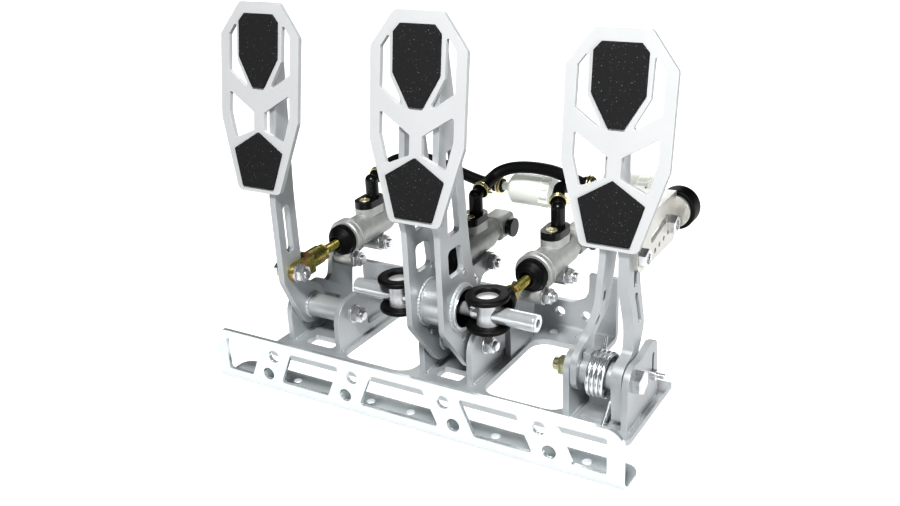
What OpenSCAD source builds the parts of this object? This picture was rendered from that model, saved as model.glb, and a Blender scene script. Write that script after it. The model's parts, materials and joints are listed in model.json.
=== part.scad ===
// Floor-mounted set of three pedals: clutch, brake with a balance bar, and throttle.
// A folded base plate carries welded brackets, and hydraulic cylinders lie behind the pedals.
// X runs to the driver's right, Y away from the driver, Z up.
// The origin is the centre of the base plate's underside. All sizes are in millimetres.

/* [Base plate] */
// Width of the base plate
base_w = 324; // [316:1:344]
// Depth of the base plate, with its rear upstand
base_d = 150; // [146:1:170]
// Thickness of the base sheet
base_t = 5; // [3:0.5:7]
// Outer bend radius of the upstand
base_bend_r = 8; // [7.5:0.5:12]
// Corner radius of the base plate
base_corner_r = 10; // [4:1:14]
// Width of the strip along the front edge
front_strip = 17; // [13:1:20]
// Width of the strip along the rear edge
rear_strip = 32; // [28:1:40]
// Corner radius of the large openings
opening_r = 14; // [6:1:18]
// Height of the upstand's tabs
upstand_h = 58; // [50:1:64]
// Height of the upstand below each cylinder
upstand_low = 30; // [27:1:34]
// Radius of the bolt holes in the base plate and upstand
base_hole_r = 4.5; // [3:0.25:5.5]
// Distance between the two holes of a pair
base_hole_pitch = 24; // [18:1:28]
// Height of the upstand's holes
upstand_hole_z = 19; // [17:0.5:21]

/* [Heel rail] */
// Length of the heel rail
rail_l = 345; // [340:1:380]
// Middle of the heel rail, measured from the origin
rail_x = 7; // [-5:1:10]
// Height of the heel rail
rail_h = 47.5; // [46:0.5:52]
// Depth of the heel rail's foot
rail_d = 32.5; // [28:0.5:36]
// Thickness of the rail sheet
rail_t = 3; // [2:0.25:4]
// Outer bend radius of the rail
rail_bend_r = 10; // [7:0.5:12]
// Gap between the rail's foot and the base plate
rail_gap = 18.5; // [10:0.5:30]
// Width of the slanted webs
web_w = 29; // [24:0.5:32]
// Radius of the round holes in the webs
rail_hole_r = 5; // [3:0.25:5.5]
// Radius of the screw holes in the rail's foot
foot_hole_r = 3.5; // [2:0.25:4]

/* [Stations] */
// Centre of the clutch brackets
clutch_x = -126.2; // [-128:0.2:-124]
// Centre of the brake brackets
brake_x = 3.5; // [0:0.5:7]
// Centre of the throttle brackets
throttle_x = 133.3; // [131:0.1:134]
// Inner gap between the clutch brackets
clutch_gap = 44.5; // [40:0.5:48]
// Inner gap between the brake brackets
brake_gap = 38; // [36:0.5:42]
// Inner gap between the throttle brackets
throttle_gap = 39.4; // [38:0.2:43]
// Thickness of the bracket plates
bracket_t = 5; // [4:0.5:6]
// Height of the clutch and brake brackets
bracket_h = 47; // [46:0.5:50]

/* [Pivots and levers] */
// Pivot of the clutch and brake pedals, measured back from the origin
pivot_y = -30; // [-33:0.5:-28]
// Height of the clutch and brake pivot
pivot_z = 31; // [30:0.5:32]
// Pivot of the throttle pedal, measured back from the origin
throttle_pivot_y = -50; // [-52:0.5:-48]
// Height of the throttle pivot
throttle_pivot_z = 40.5; // [39:0.5:42]
// Push-rod pin and balance bar axis, measured back from the origin
pin_y = -51; // [-53:0.5:-49]
// Height of the push-rod pin and the balance bar
pin_z = 70; // [69:0.5:71]
// Radius of the clutch and brake pivot bolts
pivot_r = 4; // [3:0.25:5]
// Radius of the throttle pivot bolt
throttle_pivot_r = 5; // [4:0.25:6]
// Radius of the clutch clevis bolt
pin_r = 4; // [3:0.25:5]
// Radius of the pivot tubes
pivot_tube_r = 10; // [8:0.5:12]

/* [Pedal arms] */
// Thickness of the clutch arm
clutch_arm_t = 6; // [5:0.5:8]
// Thickness of each brake arm
brake_arm_t = 5; // [4:0.5:6]
// Distance over the two brake arms
brake_arms_w = 33; // [30:0.5:35]
// Thickness of the throttle arm
throttle_arm_t = 8; // [6:0.5:9]
// Thickness of the throttle strap
strap_t = 5; // [4:0.5:6]
// Width of an arm behind the top of its pad
arm_top_w = 8; // [6:0.5:12]

/* [Pads] */
// Width of a pad plate
pad_w = 78; // [72:1:84]
// Height of a pad plate
pad_h = 148; // [140:1:156]
// Thickness of a pad plate
pad_t = 4; // [3:0.5:6]
// Thickness of the grip sheets
grip_t = 1.5; // [0.8:0.1:2.5]
// Backward tilt of the clutch pad
clutch_tilt = 10; // [7:0.5:12]
// Backward tilt of the brake pad
brake_tilt = 8.5; // [6:0.5:11]
// Backward tilt of the throttle pad
throttle_tilt = 8; // [6:0.5:10]

/* [Balance bar] */
// Radius of the tube across the brake arms
bias_tube_r = 17.5; // [16.5:0.25:19]
// Wall of the tube
bias_tube_wall = 3; // [2:0.25:4]
// Length by which the tube stands out of each arm
bias_tube_rim = 3.5; // [2:0.25:4.5]
// Radius of the balance bar
bias_bar_r = 7; // [6:0.25:7.25]
// Length of the balance bar
bias_bar_l = 160; // [140:1:170]
// Length of the sliding bearing
bias_bearing_l = 20; // [16:0.5:24]
// Distance of each clevis from the middle of the pedal
clevis_x = 39; // [38:0.5:41]
// Radius of the clevis heads
clevis_r = 17; // [15:0.25:17.5]
// Radius of the trunnion barrels
trunnion_r = 9; // [8:0.25:10.5]

/* [Cylinders] */
// Height of the cylinder axis
cyl_z = 72; // [71:0.25:73]
// Distance of the cylinder's mouth from the origin, along Y
cyl_y = 24; // [22:0.5:27]
// Radius of the cylinder's rim
cyl_rim_r = 16.5; // [15:0.25:17]
// Radius of the cylinder's barrel
cyl_body_r = 13.5; // [12:0.25:14.5]
// Radius of the cylinder's bore
cyl_bore_r = 8; // [7:0.25:9]
// Length of the cylinder's barrel
cyl_l = 72; // [68:1:80]
// Distance between the two mounting lugs
lug_pitch = 43; // [40:0.5:46]
// Height of the mounting lugs
lug_z = 54.5; // [53:0.5:56]
// Radius of the mounting lugs
lug_r = 8; // [7:0.25:9]
// Width of the mounting lugs
lug_w = 18; // [14:0.5:20]
// Radius of the lug bolts
lug_bolt_r = 4; // [3:0.25:4.5]
// Length of a push-rod, from its pin to its ball
rod_l = 89; // [86:0.5:92]
// Radius of a push-rod
rod_r = 4; // [3:0.25:4.5]
// Radius of a push-rod's ball
ball_r = 5; // [4.5:0.25:5.5]
// Length of a piston
piston_l = 24; // [20:0.5:28]

/* [Hoses] */
// Radius of the hoses
hose_r = 5.25; // [4:0.25:6]
// Radius of the reservoirs
res_r = 14; // [10:0.5:15]
// Length of the reservoirs
res_l = 32; // [26:1:34]

/* [Return spring] */
// Outside diameter of the throttle spring
spring_d = 35; // [32:0.5:36]
// Wire diameter of the throttle spring
spring_wire = 3.5; // [2.5:0.25:3.75]
// Pitch of the spring's curls
spring_pitch = 4.2; // [4.2:0.1:4.6]
// Number of whole curls
spring_curls = 3; // [2:1:3]

/* [Clearances] */
// Radial running clearance of pins and pistons
run_gap = 0.05; // [0.02:0.01:0.1]
// Radial gap of bolts in fixed holes
bolt_gap = 0.15; // [0.05:0.05:0.4]
// Side gap of moving plates beside fixed ones
side_gap = 0.5; // [0.3:0.1:0.8]

/* [Hidden] */

$fn = 48;
// Overshoot of cutting shapes
cut = 1;
// Steps in a rounded corner
arc_steps = 5;

// Planes of the base and the rail
base_front = -base_d / 2;
base_back = base_d / 2;
rail_back = base_front - rail_gap;
rail_front = rail_back - rail_d;

// Faces of the bracket plates
function left_face(x, gap) = x - gap / 2;
function right_face(x, gap) = x + gap / 2;
clutch_left = left_face(clutch_x, clutch_gap);
clutch_right = right_face(clutch_x, clutch_gap);
brake_left = left_face(brake_x, brake_gap);
brake_right = right_face(brake_x, brake_gap);
throttle_left = left_face(throttle_x, throttle_gap);
throttle_right = right_face(throttle_x, throttle_gap);

// Places of the arms
clutch_arm_x = clutch_left + side_gap;
clutch_mid_x = clutch_arm_x + clutch_arm_t / 2;
brake_arm_out = brake_arms_w / 2;
throttle_arm_x = throttle_right - side_gap - throttle_arm_t;
strap_x = throttle_left + side_gap;

// Bottom centre of each pad's front face, and its tilt
clutch_pad_at = [clutch_mid_x - 10, -67, 143, clutch_tilt];
brake_pad_at = [brake_x, -85, 145.5, brake_tilt];
throttle_pad_at = [throttle_x, -44, 133, throttle_tilt];

// Axes of the three cylinders
cyl_xs = [clutch_mid_x, brake_x - clevis_x, brake_x + clevis_x];
// Side of each cylinder that its mounting plate is on
cyl_sides = [-1, 1, -1];
// Turn of each port elbow towards the left
elbow_turns = [0, 0, 25];
lug_ys = [cyl_y + 1, cyl_y + 1 + lug_pitch];
port_y = cyl_y + 48;
port_h = 18.5;
flange_t = 6.5;
flange_z = cyl_z + port_h + flange_t;
stem_r = 6;
elbow_z = flange_z + 15;
outlet_l = 7;
outlet_rise = 15;

// Rest tilt of the push-rods and place of their balls
rod_tilt = asin((cyl_z - pin_z) / rod_l);
ball_y = pin_y + rod_l * cos(rod_tilt);
cup_gap = 0.8;
piston_front = ball_y - 2;
cup_floor = ball_y + ball_r + 0.5;

// Fasteners
function flats(r) = r * 3.25;
function nut_h(r) = r * 1.6;
function head_h(r) = r * 1.3;
washer_t = 1.6;

// Points of a polygon whose corners [x, y, r] are rounded
function unit(v) = v / norm(v);
function corner(a, p, b, r) =
    let (u = unit(a - p), v = unit(b - p), half = acos(u * v) / 2)
    let (c = p + unit(u + v) * r / sin(half), s = p + u * r / tan(half), e = p + v * r / tan(half))
    let (a0 = atan2(s.y - c.y, s.x - c.x), a1 = atan2(e.y - c.y, e.x - c.x))
    let (turn = (a1 - a0 + 540) % 360 - 180)
    [for (i = [0 : arc_steps]) c + r * [cos(a0 + turn * i / arc_steps), sin(a0 + turn * i / arc_steps)]];
function flat2(p) = [p.x, p.y];
function rounded(pts) = let (n = len(pts)) [for (i = [0 : n - 1])
    let (p = pts[i], r = p[2] == undef ? 0 : p[2])
    each r == 0 ? [flat2(p)]
        : corner(flat2(pts[(i + n - 1) % n]), flat2(p), flat2(pts[(i + 1) % n]), r)];
function box_points(x0, y0, x1, y1, r) = rounded([[x0, y0, r], [x1, y0, r], [x1, y1, r], [x0, y1, r]]);
function mirrored(pts) = [for (p = pts) [-p.x, p.y, p[2]]];

// A plate in the YZ plane, from x over a thickness
module plate_x(x, t) {
    translate([x, 0, 0]) rotate([90, 0, 90]) linear_extrude(t) children();
}
// A plate in the XZ plane, from y over a thickness
module plate_y(y, t) {
    translate([0, y + t, 0]) rotate([90, 0, 0]) linear_extrude(t) children();
}
// Round bars along X and along Y
module bar_x(x0, x1, y, z, r) {
    translate([x0, y, z]) rotate([0, 90, 0]) cylinder(h = x1 - x0, r = r);
}
module bar_y(y0, y1, x, z, r) {
    translate([x, y0, z]) rotate([-90, 0, 0]) cylinder(h = y1 - y0, r = r);
}
// Hexagon along X, given over its flats
module hex_x(x0, x1, y, z, w) {
    translate([x0, y, z]) rotate([0, 90, 0]) cylinder(h = x1 - x0, r = w / sqrt(3), $fn = 6);
}
// Ring along X
module ring_x(x0, x1, y, z, r, bore) {
    difference() {
        bar_x(x0, x1, y, z, r);
        bar_x(x0 - cut, x1 + cut, y, z, bore);
    }
}
// Hexagon bolt along X: the head lies outside x_head, dir points from the head to the tip
module bolt_x(x_head, l, y, z, r, dir) {
    h = head_h(r);
    translate([x_head, y, z]) rotate([0, dir > 0 ? 0 : 180, 0]) union() {
        hex_x(-h, 0, 0, 0, flats(r));
        bar_x(-0.01, l, 0, 0, r);
    }
}
// Nut with its washer along X, from x towards dir
module nut_x(x, y, z, r, dir) {
    translate([x, y, z]) rotate([0, dir > 0 ? 0 : 180, 0]) difference() {
        union() {
            bar_x(0, washer_t, 0, 0, r * 2);
            hex_x(washer_t, washer_t + nut_h(r), 0, 0, flats(r));
        }
        bar_x(-cut, washer_t + nut_h(r) + cut, 0, 0, r + bolt_gap);
    }
}

// Tube swept along points: rings of the given number of sides, with flat ends
function tangents(p) = [for (i = [0 : len(p) - 1])
    unit(p[min(i + 1, len(p) - 1)] - p[max(i - 1, 0)])];
function normals(t) = [for (i = 0, n = unit(cross(t[0], [0.3, 0.4, 0.86])); i < len(t);
    i = i + 1, n = unit(n - (n * t[min(i, len(t) - 1)]) * t[min(i, len(t) - 1)])) n];
module swept(p, r, sides) {
    t = tangents(p);
    n = normals(t);
    last = (len(p) - 1) * sides;
    points = [for (i = [0 : len(p) - 1]) for (k = [0 : sides - 1])
        p[i] + r * (cos(360 * k / sides) * n[i] + sin(360 * k / sides) * cross(t[i], n[i]))];
    walls = [for (i = [0 : len(p) - 2]) for (k = [0 : sides - 1])
        let (a = i * sides + k, b = i * sides + (k + 1) % sides)
        each [[a, b + sides, b], [a, a + sides, b + sides]]];
    ends = [for (k = [1 : sides - 2]) each [[0, k, k + 1], [last, last + k + 1, last + k]]];
    polyhedron(points, concat(walls, ends));
}

// Folded base plate: strips under the stations, large openings, rear upstand
throttle_back = 19;
cyl_cut_half = 29;
cyl_cut_r = 16;
upstand_right = 96;
module base_plate() {
    bend_in = base_bend_r - base_t;
    profile = rounded([[base_front, 0], [base_back, 0, base_bend_r], [base_back, upstand_h],
        [base_back - base_t, upstand_h], [base_back - base_t, base_t, bend_in], [base_front, base_t]]);
    open_y0 = base_front + front_strip;
    open_y1 = base_back - rear_strip;
    opens = [[clutch_right + bracket_t + 2, cyl_xs[1] + lug_w / 2 - 2],
        [cyl_xs[2] - lug_w / 2 + 2, throttle_left - bracket_t - 3]];
    slots = [[clutch_x - 12, clutch_x + 16], [brake_x - 11, brake_x + 11]];
    color([0.72, 0.74, 0.75]) difference() {
        plate_x(-base_w / 2, base_w) polygon(profile);
        // Front corners
        translate([0, 0, -cut]) linear_extrude(base_t + 2 * cut)
            for (s = [-1, 1]) corner_waste(s * base_w / 2, base_front, base_corner_r, s, -1);
        // Free corner behind the throttle station
        translate([0, 0, -cut]) linear_extrude(upstand_h + 2 * cut) polygon(rounded([
            [upstand_right, throttle_back, base_corner_r], [base_w / 2 + 9, throttle_back],
            [base_w / 2 + 9, base_back + cut], [upstand_right, base_back + cut]]));
        // Large openings between the stations and small ones under the pedals
        translate([0, 0, -cut]) linear_extrude(base_t + 2 * cut) {
            for (o = opens) polygon(box_points(o[0], open_y0, o[1], open_y1, opening_r));
            for (o = slots) polygon(box_points(o[0], -51, o[1], -35, 3));
        }
        // Low stretch of the upstand under the cylinders, up to the tab at the right
        plate_y(base_back - base_t - cut, base_t + 2 * cut) {
            top = upstand_h + cut;
            left = -base_w / 2 - cyl_cut_r;
            right = cyl_xs[2] + cyl_cut_half;
            polygon(rounded([[left, upstand_low], [right, upstand_low, cyl_cut_r], [right, top],
                [left, top]]));
        }
        // Bolt holes in the rear strip and in the upstand
        for (s = [-1, 1]) for (x = [-base_hole_pitch / 2, base_hole_pitch / 2]) {
            translate([s * pair_x + x, pair_y, -cut]) cylinder(h = base_t + 2 * cut, r = base_hole_r);
            bar_y(base_back - base_t - cut, base_back + cut, s * pair_x + x, upstand_hole_z, base_hole_r);
        }
    }
}
pair_x = 57;
pair_y = base_back - 17;

// Heel rail: folded angle with slanted webs, windows and round holes
rail_top_r = 12;
rail_foot_r = 10;
window_low = 13.5;
window_top = rail_h - 7.2;
window_r = 2;
window_end = rail_l / 2 - 11.5;
web_tops = [36.5, 110.3];
web_lean = 12;
web_hole_zs = [18.2, 34.8];
rail_foot_xs = [-111, -40, -4, 68, 138];
rail_foot_y = rail_back - 10.5;
function web_x(i, z) = web_tops[i] + web_lean * (window_top - z) / (window_top - window_low);
function web_side(i, z, side) = [web_x(i, z) + side * web_w / 2, z, window_r];
// Square corner at the end of an edge, less the round that stays
module corner_waste(x, y, r, side, up) {
    difference() {
        translate([x, y]) square(2 * r, center = true);
        translate([x - side * r, y - up * r]) circle(r);
        translate([x - side * (r + cut), y - up * r]) square([2 * r - cut, 2 * cut], center = true);
        translate([x - side * r, y - up * (r + cut)]) square([2 * cut, 2 * r - cut], center = true);
    }
}
module heel_rail() {
    side_windows = [
        [web_side(0, window_low, 1), web_side(1, window_low, -1), web_side(1, window_top, -1),
            web_side(0, window_top, 1)],
        [web_side(1, window_low, 1), [window_end, window_low, window_r],
            [window_end, window_top, window_r], web_side(1, window_top, 1)]];
    middle = both_sides([web_side(0, window_low, -1), web_side(0, window_top, -1)]);
    color([0.82, 0.84, 0.86]) translate([rail_x, 0, 0]) difference() {
        plate_x(-rail_l / 2, rail_l) polygon(rounded([[rail_front, 0, rail_bend_r], [rail_back, 0],
            [rail_back, rail_t], [rail_front + rail_t, rail_t, rail_bend_r - rail_t],
            [rail_front + rail_t, rail_h], [rail_front, rail_h]]));
        // Windows between the webs, and round upper corners
        plate_y(rail_front - cut, rail_t + 2 * cut) {
            polygon(rounded(middle));
            for (w = side_windows) {
                polygon(rounded(w));
                polygon(rounded(mirrored(w)));
            }
            for (s = [-1, 1]) corner_waste(s * rail_l / 2, rail_h, rail_top_r, s, 1);
        }
        // Round holes in the webs
        for (s = [-1, 1]) for (i = [0, 1]) for (z = web_hole_zs)
            bar_y(rail_front - cut, rail_front + rail_t + cut, s * web_x(i, z), z, rail_hole_r);
        // Screw holes and round corners in the foot
        translate([0, 0, -cut]) linear_extrude(rail_t + 2 * cut)
            for (s = [-1, 1]) corner_waste(s * rail_l / 2, rail_back, rail_foot_r, s, 1);
        for (x = rail_foot_xs)
            translate([x, rail_foot_y, -cut]) cylinder(h = rail_t + 2 * cut, r = foot_hole_r);
    }
}

// Welded bracket plates of the clutch and the brake
module low_bracket(x, gap) {
    front = pivot_y - 23;
    back = pivot_y + 62;
    for (s = [-1, 1]) difference() {
        plate_x(s < 0 ? x - gap / 2 - bracket_t : x + gap / 2, bracket_t) difference() {
            polygon(rounded([[front, base_t], [back, base_t], [back, base_t + 15, 8],
                [pivot_y + 20, bracket_h, 12], [front, bracket_h, 18]]));
            polygon(rounded([[pivot_y + 18, base_t + 8, 3], [back - 12, base_t + 8, 3],
                [back - 16, base_t + 14, 2], [pivot_y + 18, bracket_h - 12, 3]]));
        }
        bar_x(x - gap, x + gap, pivot_y, pivot_z, pivot_r + bolt_gap);
    }
}
module clutch_bracket() { color([0.72, 0.74, 0.75]) low_bracket(clutch_x, clutch_gap); }
module brake_bracket() { color([0.72, 0.74, 0.75]) low_bracket(brake_x, brake_gap); }

// Welded bracket plates of the throttle: a round one, and one with a slotted peak
stop_y = -14;
stop_z = 28;
module throttle_bracket() {
    front = throttle_pivot_y - 14;
    top = throttle_pivot_z + 15.5;
    color([0.74, 0.76, 0.77]) difference() {
        union() {
            plate_x(throttle_left - bracket_t, bracket_t) polygon(rounded([[front, base_t],
                [front, top, 13], [throttle_pivot_y + 16, top, 14], [throttle_pivot_y + 24, base_t]]));
            plate_x(throttle_right, bracket_t) difference() {
                polygon(rounded([[front, base_t], [front, top - 2, 13], [throttle_pivot_y + 12, top - 3, 8],
                    [stop_y - 4, top + 1, 4], [stop_y + 7, top - 3, 4], [stop_y + 12, base_t]]));
                polygon(box_points(stop_y - 2.2, stop_z - 2.2, stop_y + 2.2, top - 10, 2.1));
            }
        }
        bar_x(throttle_left - 2 * bracket_t, throttle_right + 2 * bracket_t, throttle_pivot_y,
            throttle_pivot_z, throttle_pivot_r + bolt_gap);
    }
}

// Screw that sets the throttle's rest position in the bracket's slot
stop_screw_r = 2;
module stop_screw() {
    x = throttle_right + bracket_t;
    color([0.55, 0.56, 0.58]) union() {
        bar_x(x, x + 3, stop_y, stop_z, 4);
        bar_x(x - bracket_t, x + 9, stop_y, stop_z, stop_screw_r);
    }
}

// Welded plates that carry the cylinders by their lugs
plate_t = 5;
plate_top = lug_z + 7;
plate_over = 11;
plate_foot = 40;
plate_arm = 7.5;
module cylinder_plates() {
    y0 = lug_ys[0] - plate_over;
    y1 = lug_ys[1] + plate_over;
    arm_z = lug_z - plate_arm;
    color([0.70, 0.72, 0.73]) for (i = [0 : 2]) {
        x = cyl_sides[i] > 0 ? cyl_xs[i] + lug_w / 2 : cyl_xs[i] - lug_w / 2 - plate_t;
        difference() {
            plate_x(x, plate_t) polygon(rounded([[y0 - 14, base_t], [y0 - 14 + plate_foot, base_t],
                [y0 + plate_foot - 10, arm_z - 12, 8], [lug_ys[1] - 12, arm_z, 6], [y1, arm_z, 5],
                [y1, plate_top, 7], [y0 + 4, plate_top, 7], [y0 - 2, arm_z - 9, 5],
                [y0 - 14, arm_z - 11, 5]]));
            for (y = lug_ys) bar_x(x - cut, x + plate_t + cut, y, lug_z, lug_bolt_r + bolt_gap);
        }
    }
}

// Hydraulic cylinder: rim, barrel, lugs, port pad and tapered end
end_y = cyl_y + cyl_l;
nose_l = 20;
nose_r = 10.5;
rim_l = 5;
rim_groove_r = cyl_rim_r - 0.9;
mouth_r = 13.4;
mouth_l = 10;
bore_end = cyl_y + 58;
// End block with the outlet, behind the nose
block_in = 3;
block_l = 22;
seat_gap = 0.3;
spot_r = lug_bolt_r * 2;
// Machined faces of a cylinder: flat beside its plate, and a spot face under each bolt head
module lug_faces(x, side) {
    deep = cyl_rim_r;
    flat_x = side > 0 ? x + lug_w / 2 : x - lug_w / 2 - deep;
    head_x = side > 0 ? x - lug_w / 2 - deep : x + lug_w / 2;
    over = plate_over + seat_gap;
    translate([flat_x, lug_ys[0] - over, lug_z - lug_r])
        cube([deep, lug_pitch + 2 * over, lug_r + plate_top - lug_z + seat_gap]);
    for (y = lug_ys) bar_x(head_x, head_x + deep, y, lug_z, spot_r);
}
module cylinder_body(x, side) {
    difference() {
        union() {
            translate([x, cyl_y, cyl_z]) rotate([-90, 0, 0]) rotate_extrude() polygon([[0, 0],
                [cyl_rim_r - 1, 0], [cyl_rim_r, 1], [cyl_rim_r, rim_l], [rim_groove_r, rim_l + 0.5],
                [rim_groove_r, rim_l + 1.5], [cyl_rim_r, rim_l + 2], [cyl_rim_r, rim_l + 4],
                [cyl_body_r, rim_l + 6],
                [cyl_body_r, cyl_l - 12], [nose_r, cyl_l], [nose_r, cyl_l + nose_l], [0, cyl_l + nose_l]]);
            for (y = lug_ys) {
                bar_x(x - lug_w / 2, x + lug_w / 2, y, lug_z, lug_r);
                translate([x - lug_w / 2 + 3, y - lug_r + 1, lug_z])
                    cube([lug_w - 6, 2 * lug_r - 2, cyl_z - lug_z]);
            }
            plate_y(end_y + block_in, block_l) polygon(box_points(x - nose_r, cyl_z - nose_r,
                x + nose_r + 0.5, cyl_z + nose_r + 0.5, 5));
            translate([x, port_y, cyl_z]) linear_extrude(port_h - port_pad_h) port_outline(neck_in);
            translate([x, port_y, cyl_z + port_h - port_pad_h]) linear_extrude(port_pad_h) port_outline(0);
        }
        bar_y(cyl_y - cut, cyl_y + mouth_l, x, cyl_z, mouth_r);
        bar_y(cyl_y - cut, bore_end, x, cyl_z, cyl_bore_r);
        for (y = lug_ys) bar_x(x - lug_w, x + lug_w, y, lug_z, lug_bolt_r + bolt_gap);
        lug_faces(x, side);
        translate([0, -lug_r * 2, 0]) bar_y(cyl_y - cut, cyl_y + 2 * lug_r, x, cyl_z, mouth_r);
    }
}
// Oval outline of the port pad and of the elbow's flange, or of the neck that lies inside it
port_r = 10;
screw_end_r = 9;
screw_pitch = 13;
port_pad_h = 7.8;
neck_in = 3;
module port_outline(inside) {
    back = port_r - inside;
    front = screw_end_r - inside;
    low = -screw_pitch - front;
    polygon(rounded([[-front, low, front * 0.98], [front, low, front * 0.98], [back, back, back * 0.94],
        [-back, back, back * 0.94]]));
}
module clutch_cylinder() { color([0.66, 0.67, 0.68]) cylinder_body(cyl_xs[0], cyl_sides[0]); }
module brake_cylinder_left() { color([0.66, 0.67, 0.68]) cylinder_body(cyl_xs[1], cyl_sides[1]); }
module brake_cylinder_right() { color([0.66, 0.67, 0.68]) cylinder_body(cyl_xs[2], cyl_sides[2]); }

// Rubber boots in the cylinder mouths, each with a hole for its push-rod
boot_hole_r = rod_r + 1.4;
boot_l = 13;
module cylinder_boots() {
    r = mouth_r - 0.1;
    color([0.08, 0.08, 0.08]) for (x = cyl_xs) translate([x, cyl_y, cyl_z]) rotate([-90, 0, 0])
        rotate_extrude() polygon([[boot_hole_r, -boot_l], [boot_hole_r + 1.8, -boot_l],
            [boot_hole_r + 2.6, 3.5 - boot_l], [r - 2.6, 5 - boot_l], [r - 0.8, 6.5 - boot_l],
            [r, 8 - boot_l], [r, mouth_l - 2], [r - 2, mouth_l - 2], [r - 2, 9 - boot_l],
            [boot_hole_r + 1.6, 4.5 - boot_l], [boot_hole_r, 3.5 - boot_l]]);
}

// Cross bolts of the cylinder lugs with their heads at the left, and their nuts
function lug_left(i) = cyl_xs[i] - lug_w / 2 - (cyl_sides[i] < 0 ? plate_t : 0);
function lug_right(i) = cyl_xs[i] + lug_w / 2 + (cyl_sides[i] > 0 ? plate_t : 0);
module cylinder_bolts() {
    color([0.60, 0.61, 0.63]) for (i = [0 : 2]) for (y = lug_ys)
        bolt_x(lug_left(i), lug_w + plate_t + washer_t + nut_h(lug_bolt_r) + 3, y, lug_z, lug_bolt_r, 1);
}
module cylinder_nuts() {
    color([0.60, 0.61, 0.63]) for (i = [0 : 2]) for (y = lug_ys)
        nut_x(lug_right(i), y, lug_z, lug_bolt_r, 1);
}

// Plastic port elbows: flange, stem, and an outlet that points backwards
function outlet_dir(i) = [-sin(elbow_turns[i]) * cos(outlet_rise),
    cos(elbow_turns[i]) * cos(outlet_rise), sin(outlet_rise)];
function elbow_corner(i) = [cyl_xs[i], port_y, elbow_z];
function outlet_tip(i) = elbow_corner(i) + outlet_l * outlet_dir(i);
module port_elbows() {
    color([0.10, 0.10, 0.10]) for (i = [0 : 2]) difference() {
        union() {
            translate([cyl_xs[i], port_y, cyl_z + port_h]) linear_extrude(flange_t) port_outline(0);
            translate([cyl_xs[i], port_y, flange_z - 0.5]) cylinder(h = elbow_z - flange_z + 0.5, r = stem_r);
            translate(elbow_corner(i)) sphere(stem_r);
            translate(elbow_corner(i)) rotate([0, 0, elbow_turns[i]])
                rotate([outlet_rise - 90, 0, 0]) cylinder(h = outlet_l, r = stem_r - 1);
        }
        translate([cyl_xs[i], port_y - screw_pitch, flange_z - screw_recess])
            cylinder(h = screw_recess + cut, r = screw_r + bolt_gap);
    }
}
screw_r = 5;
screw_recess = 2;
module elbow_screws() {
    color([0.76, 0.66, 0.36]) for (x = cyl_xs) translate([x, port_y - screw_pitch, flange_z - screw_recess])
        cylinder(h = screw_recess + 1, r = screw_r);
}

// Plugs in the outlets at the right of the end blocks
plug_l = 6.5;
plug_r = 7.5;
plug_rim_r = 8.6;
plug_rim_l = 3;
module end_plugs() {
    y = end_y + block_in + block_l / 2;
    color([0.10, 0.10, 0.10]) for (x = cyl_xs) translate([x + nose_r + 0.5, y, cyl_z]) union() {
        bar_x(0, plug_l, 0, 0, plug_r);
        bar_x(plug_l - plug_rim_l, plug_l, 0, 0, plug_rim_r);
    }
}

// Hose routes: from the elbow's outlet, through the chosen points, to a reservoir's nipple
res_at = [[-27, 124, 105], [70, 103, 125], [78, 134, 102]];
nipple_l = 9;
nipple_r = 4;
function nipple_tip(i) = res_at[i] - [nipple_l, 0, 0];
routes = [
    [[-144, 103, 120], [-138, 114, 122], [-124, 122, 122], [-106, 125, 119], [-86, 125, 113],
        [-66, 124, 108], [-50, 124, 105]],
    [[-34, 100, 120], [-28, 106, 125], [-16, 109, 129], [0, 109, 131], [20, 107, 131], [38, 104, 128],
        [50, 103, 125]],
    [[32, 98, 119], [33, 108, 118], [40, 119, 114], [50, 128, 108], [59, 134, 103]]];
function route(i) = concat([outlet_tip(i), outlet_tip(i) + 6 * outlet_dir(i)], routes[i],
    [nipple_tip(i) - [5, 0, 0], nipple_tip(i)]);
hose_sides = 10;
module hose(i) { color([0.09, 0.09, 0.09]) swept(route(i), hose_r, hose_sides); }
module hose_clutch() { hose(0); }
module hose_brake_left() { hose(1); }
module hose_brake_right() { hose(2); }

// Wire clamps on both ends of each hose
clamp_w = 3;
module clamp(at, dir) {
    turn = atan2(dir.y, dir.x);
    rise = atan2(dir.z, norm([dir.x, dir.y]));
    translate(at + 1.5 * dir) rotate([0, 90 - rise, turn]) difference() {
        union() {
            cylinder(h = clamp_w, r = hose_r + 1.2);
            translate([-hose_r - 3.5, -2, 0]) cube([4, 4, clamp_w]);
        }
        translate([0, 0, -cut]) cylinder(h = clamp_w + 2 * cut, r = hose_r + 0.1);
    }
}
module hose_clamps() {
    color([0.80, 0.72, 0.36]) for (i = [0 : 2]) {
        clamp(outlet_tip(i), outlet_dir(i));
        clamp(nipple_tip(i), [-1, 0, 0]);
    }
}

// Small translucent reservoirs carried by the hoses, with ribbed caps
cap_l = 9;
module reservoirs() {
    color([0.90, 0.90, 0.86]) for (p = res_at) translate(p) rotate([0, 90, 0]) rotate_extrude()
        polygon([[0, -nipple_l], [nipple_r, -nipple_l], [nipple_r, 0], [res_r - 4, 0], [res_r, 4],
            [res_r, res_l], [0, res_l]]);
}
module reservoir_caps() {
    color([0.86, 0.86, 0.83]) for (p = res_at) translate(p + [res_l, 0, 0]) rotate([0, 90, 0]) union() {
        cylinder(h = cap_l, r = res_r - 1);
        for (a = [0 : 30 : 330]) rotate(a) translate([res_r - 2, -1.2, 0]) cube([2.2, 2.4, cap_l - 1]);
    }
}

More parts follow.
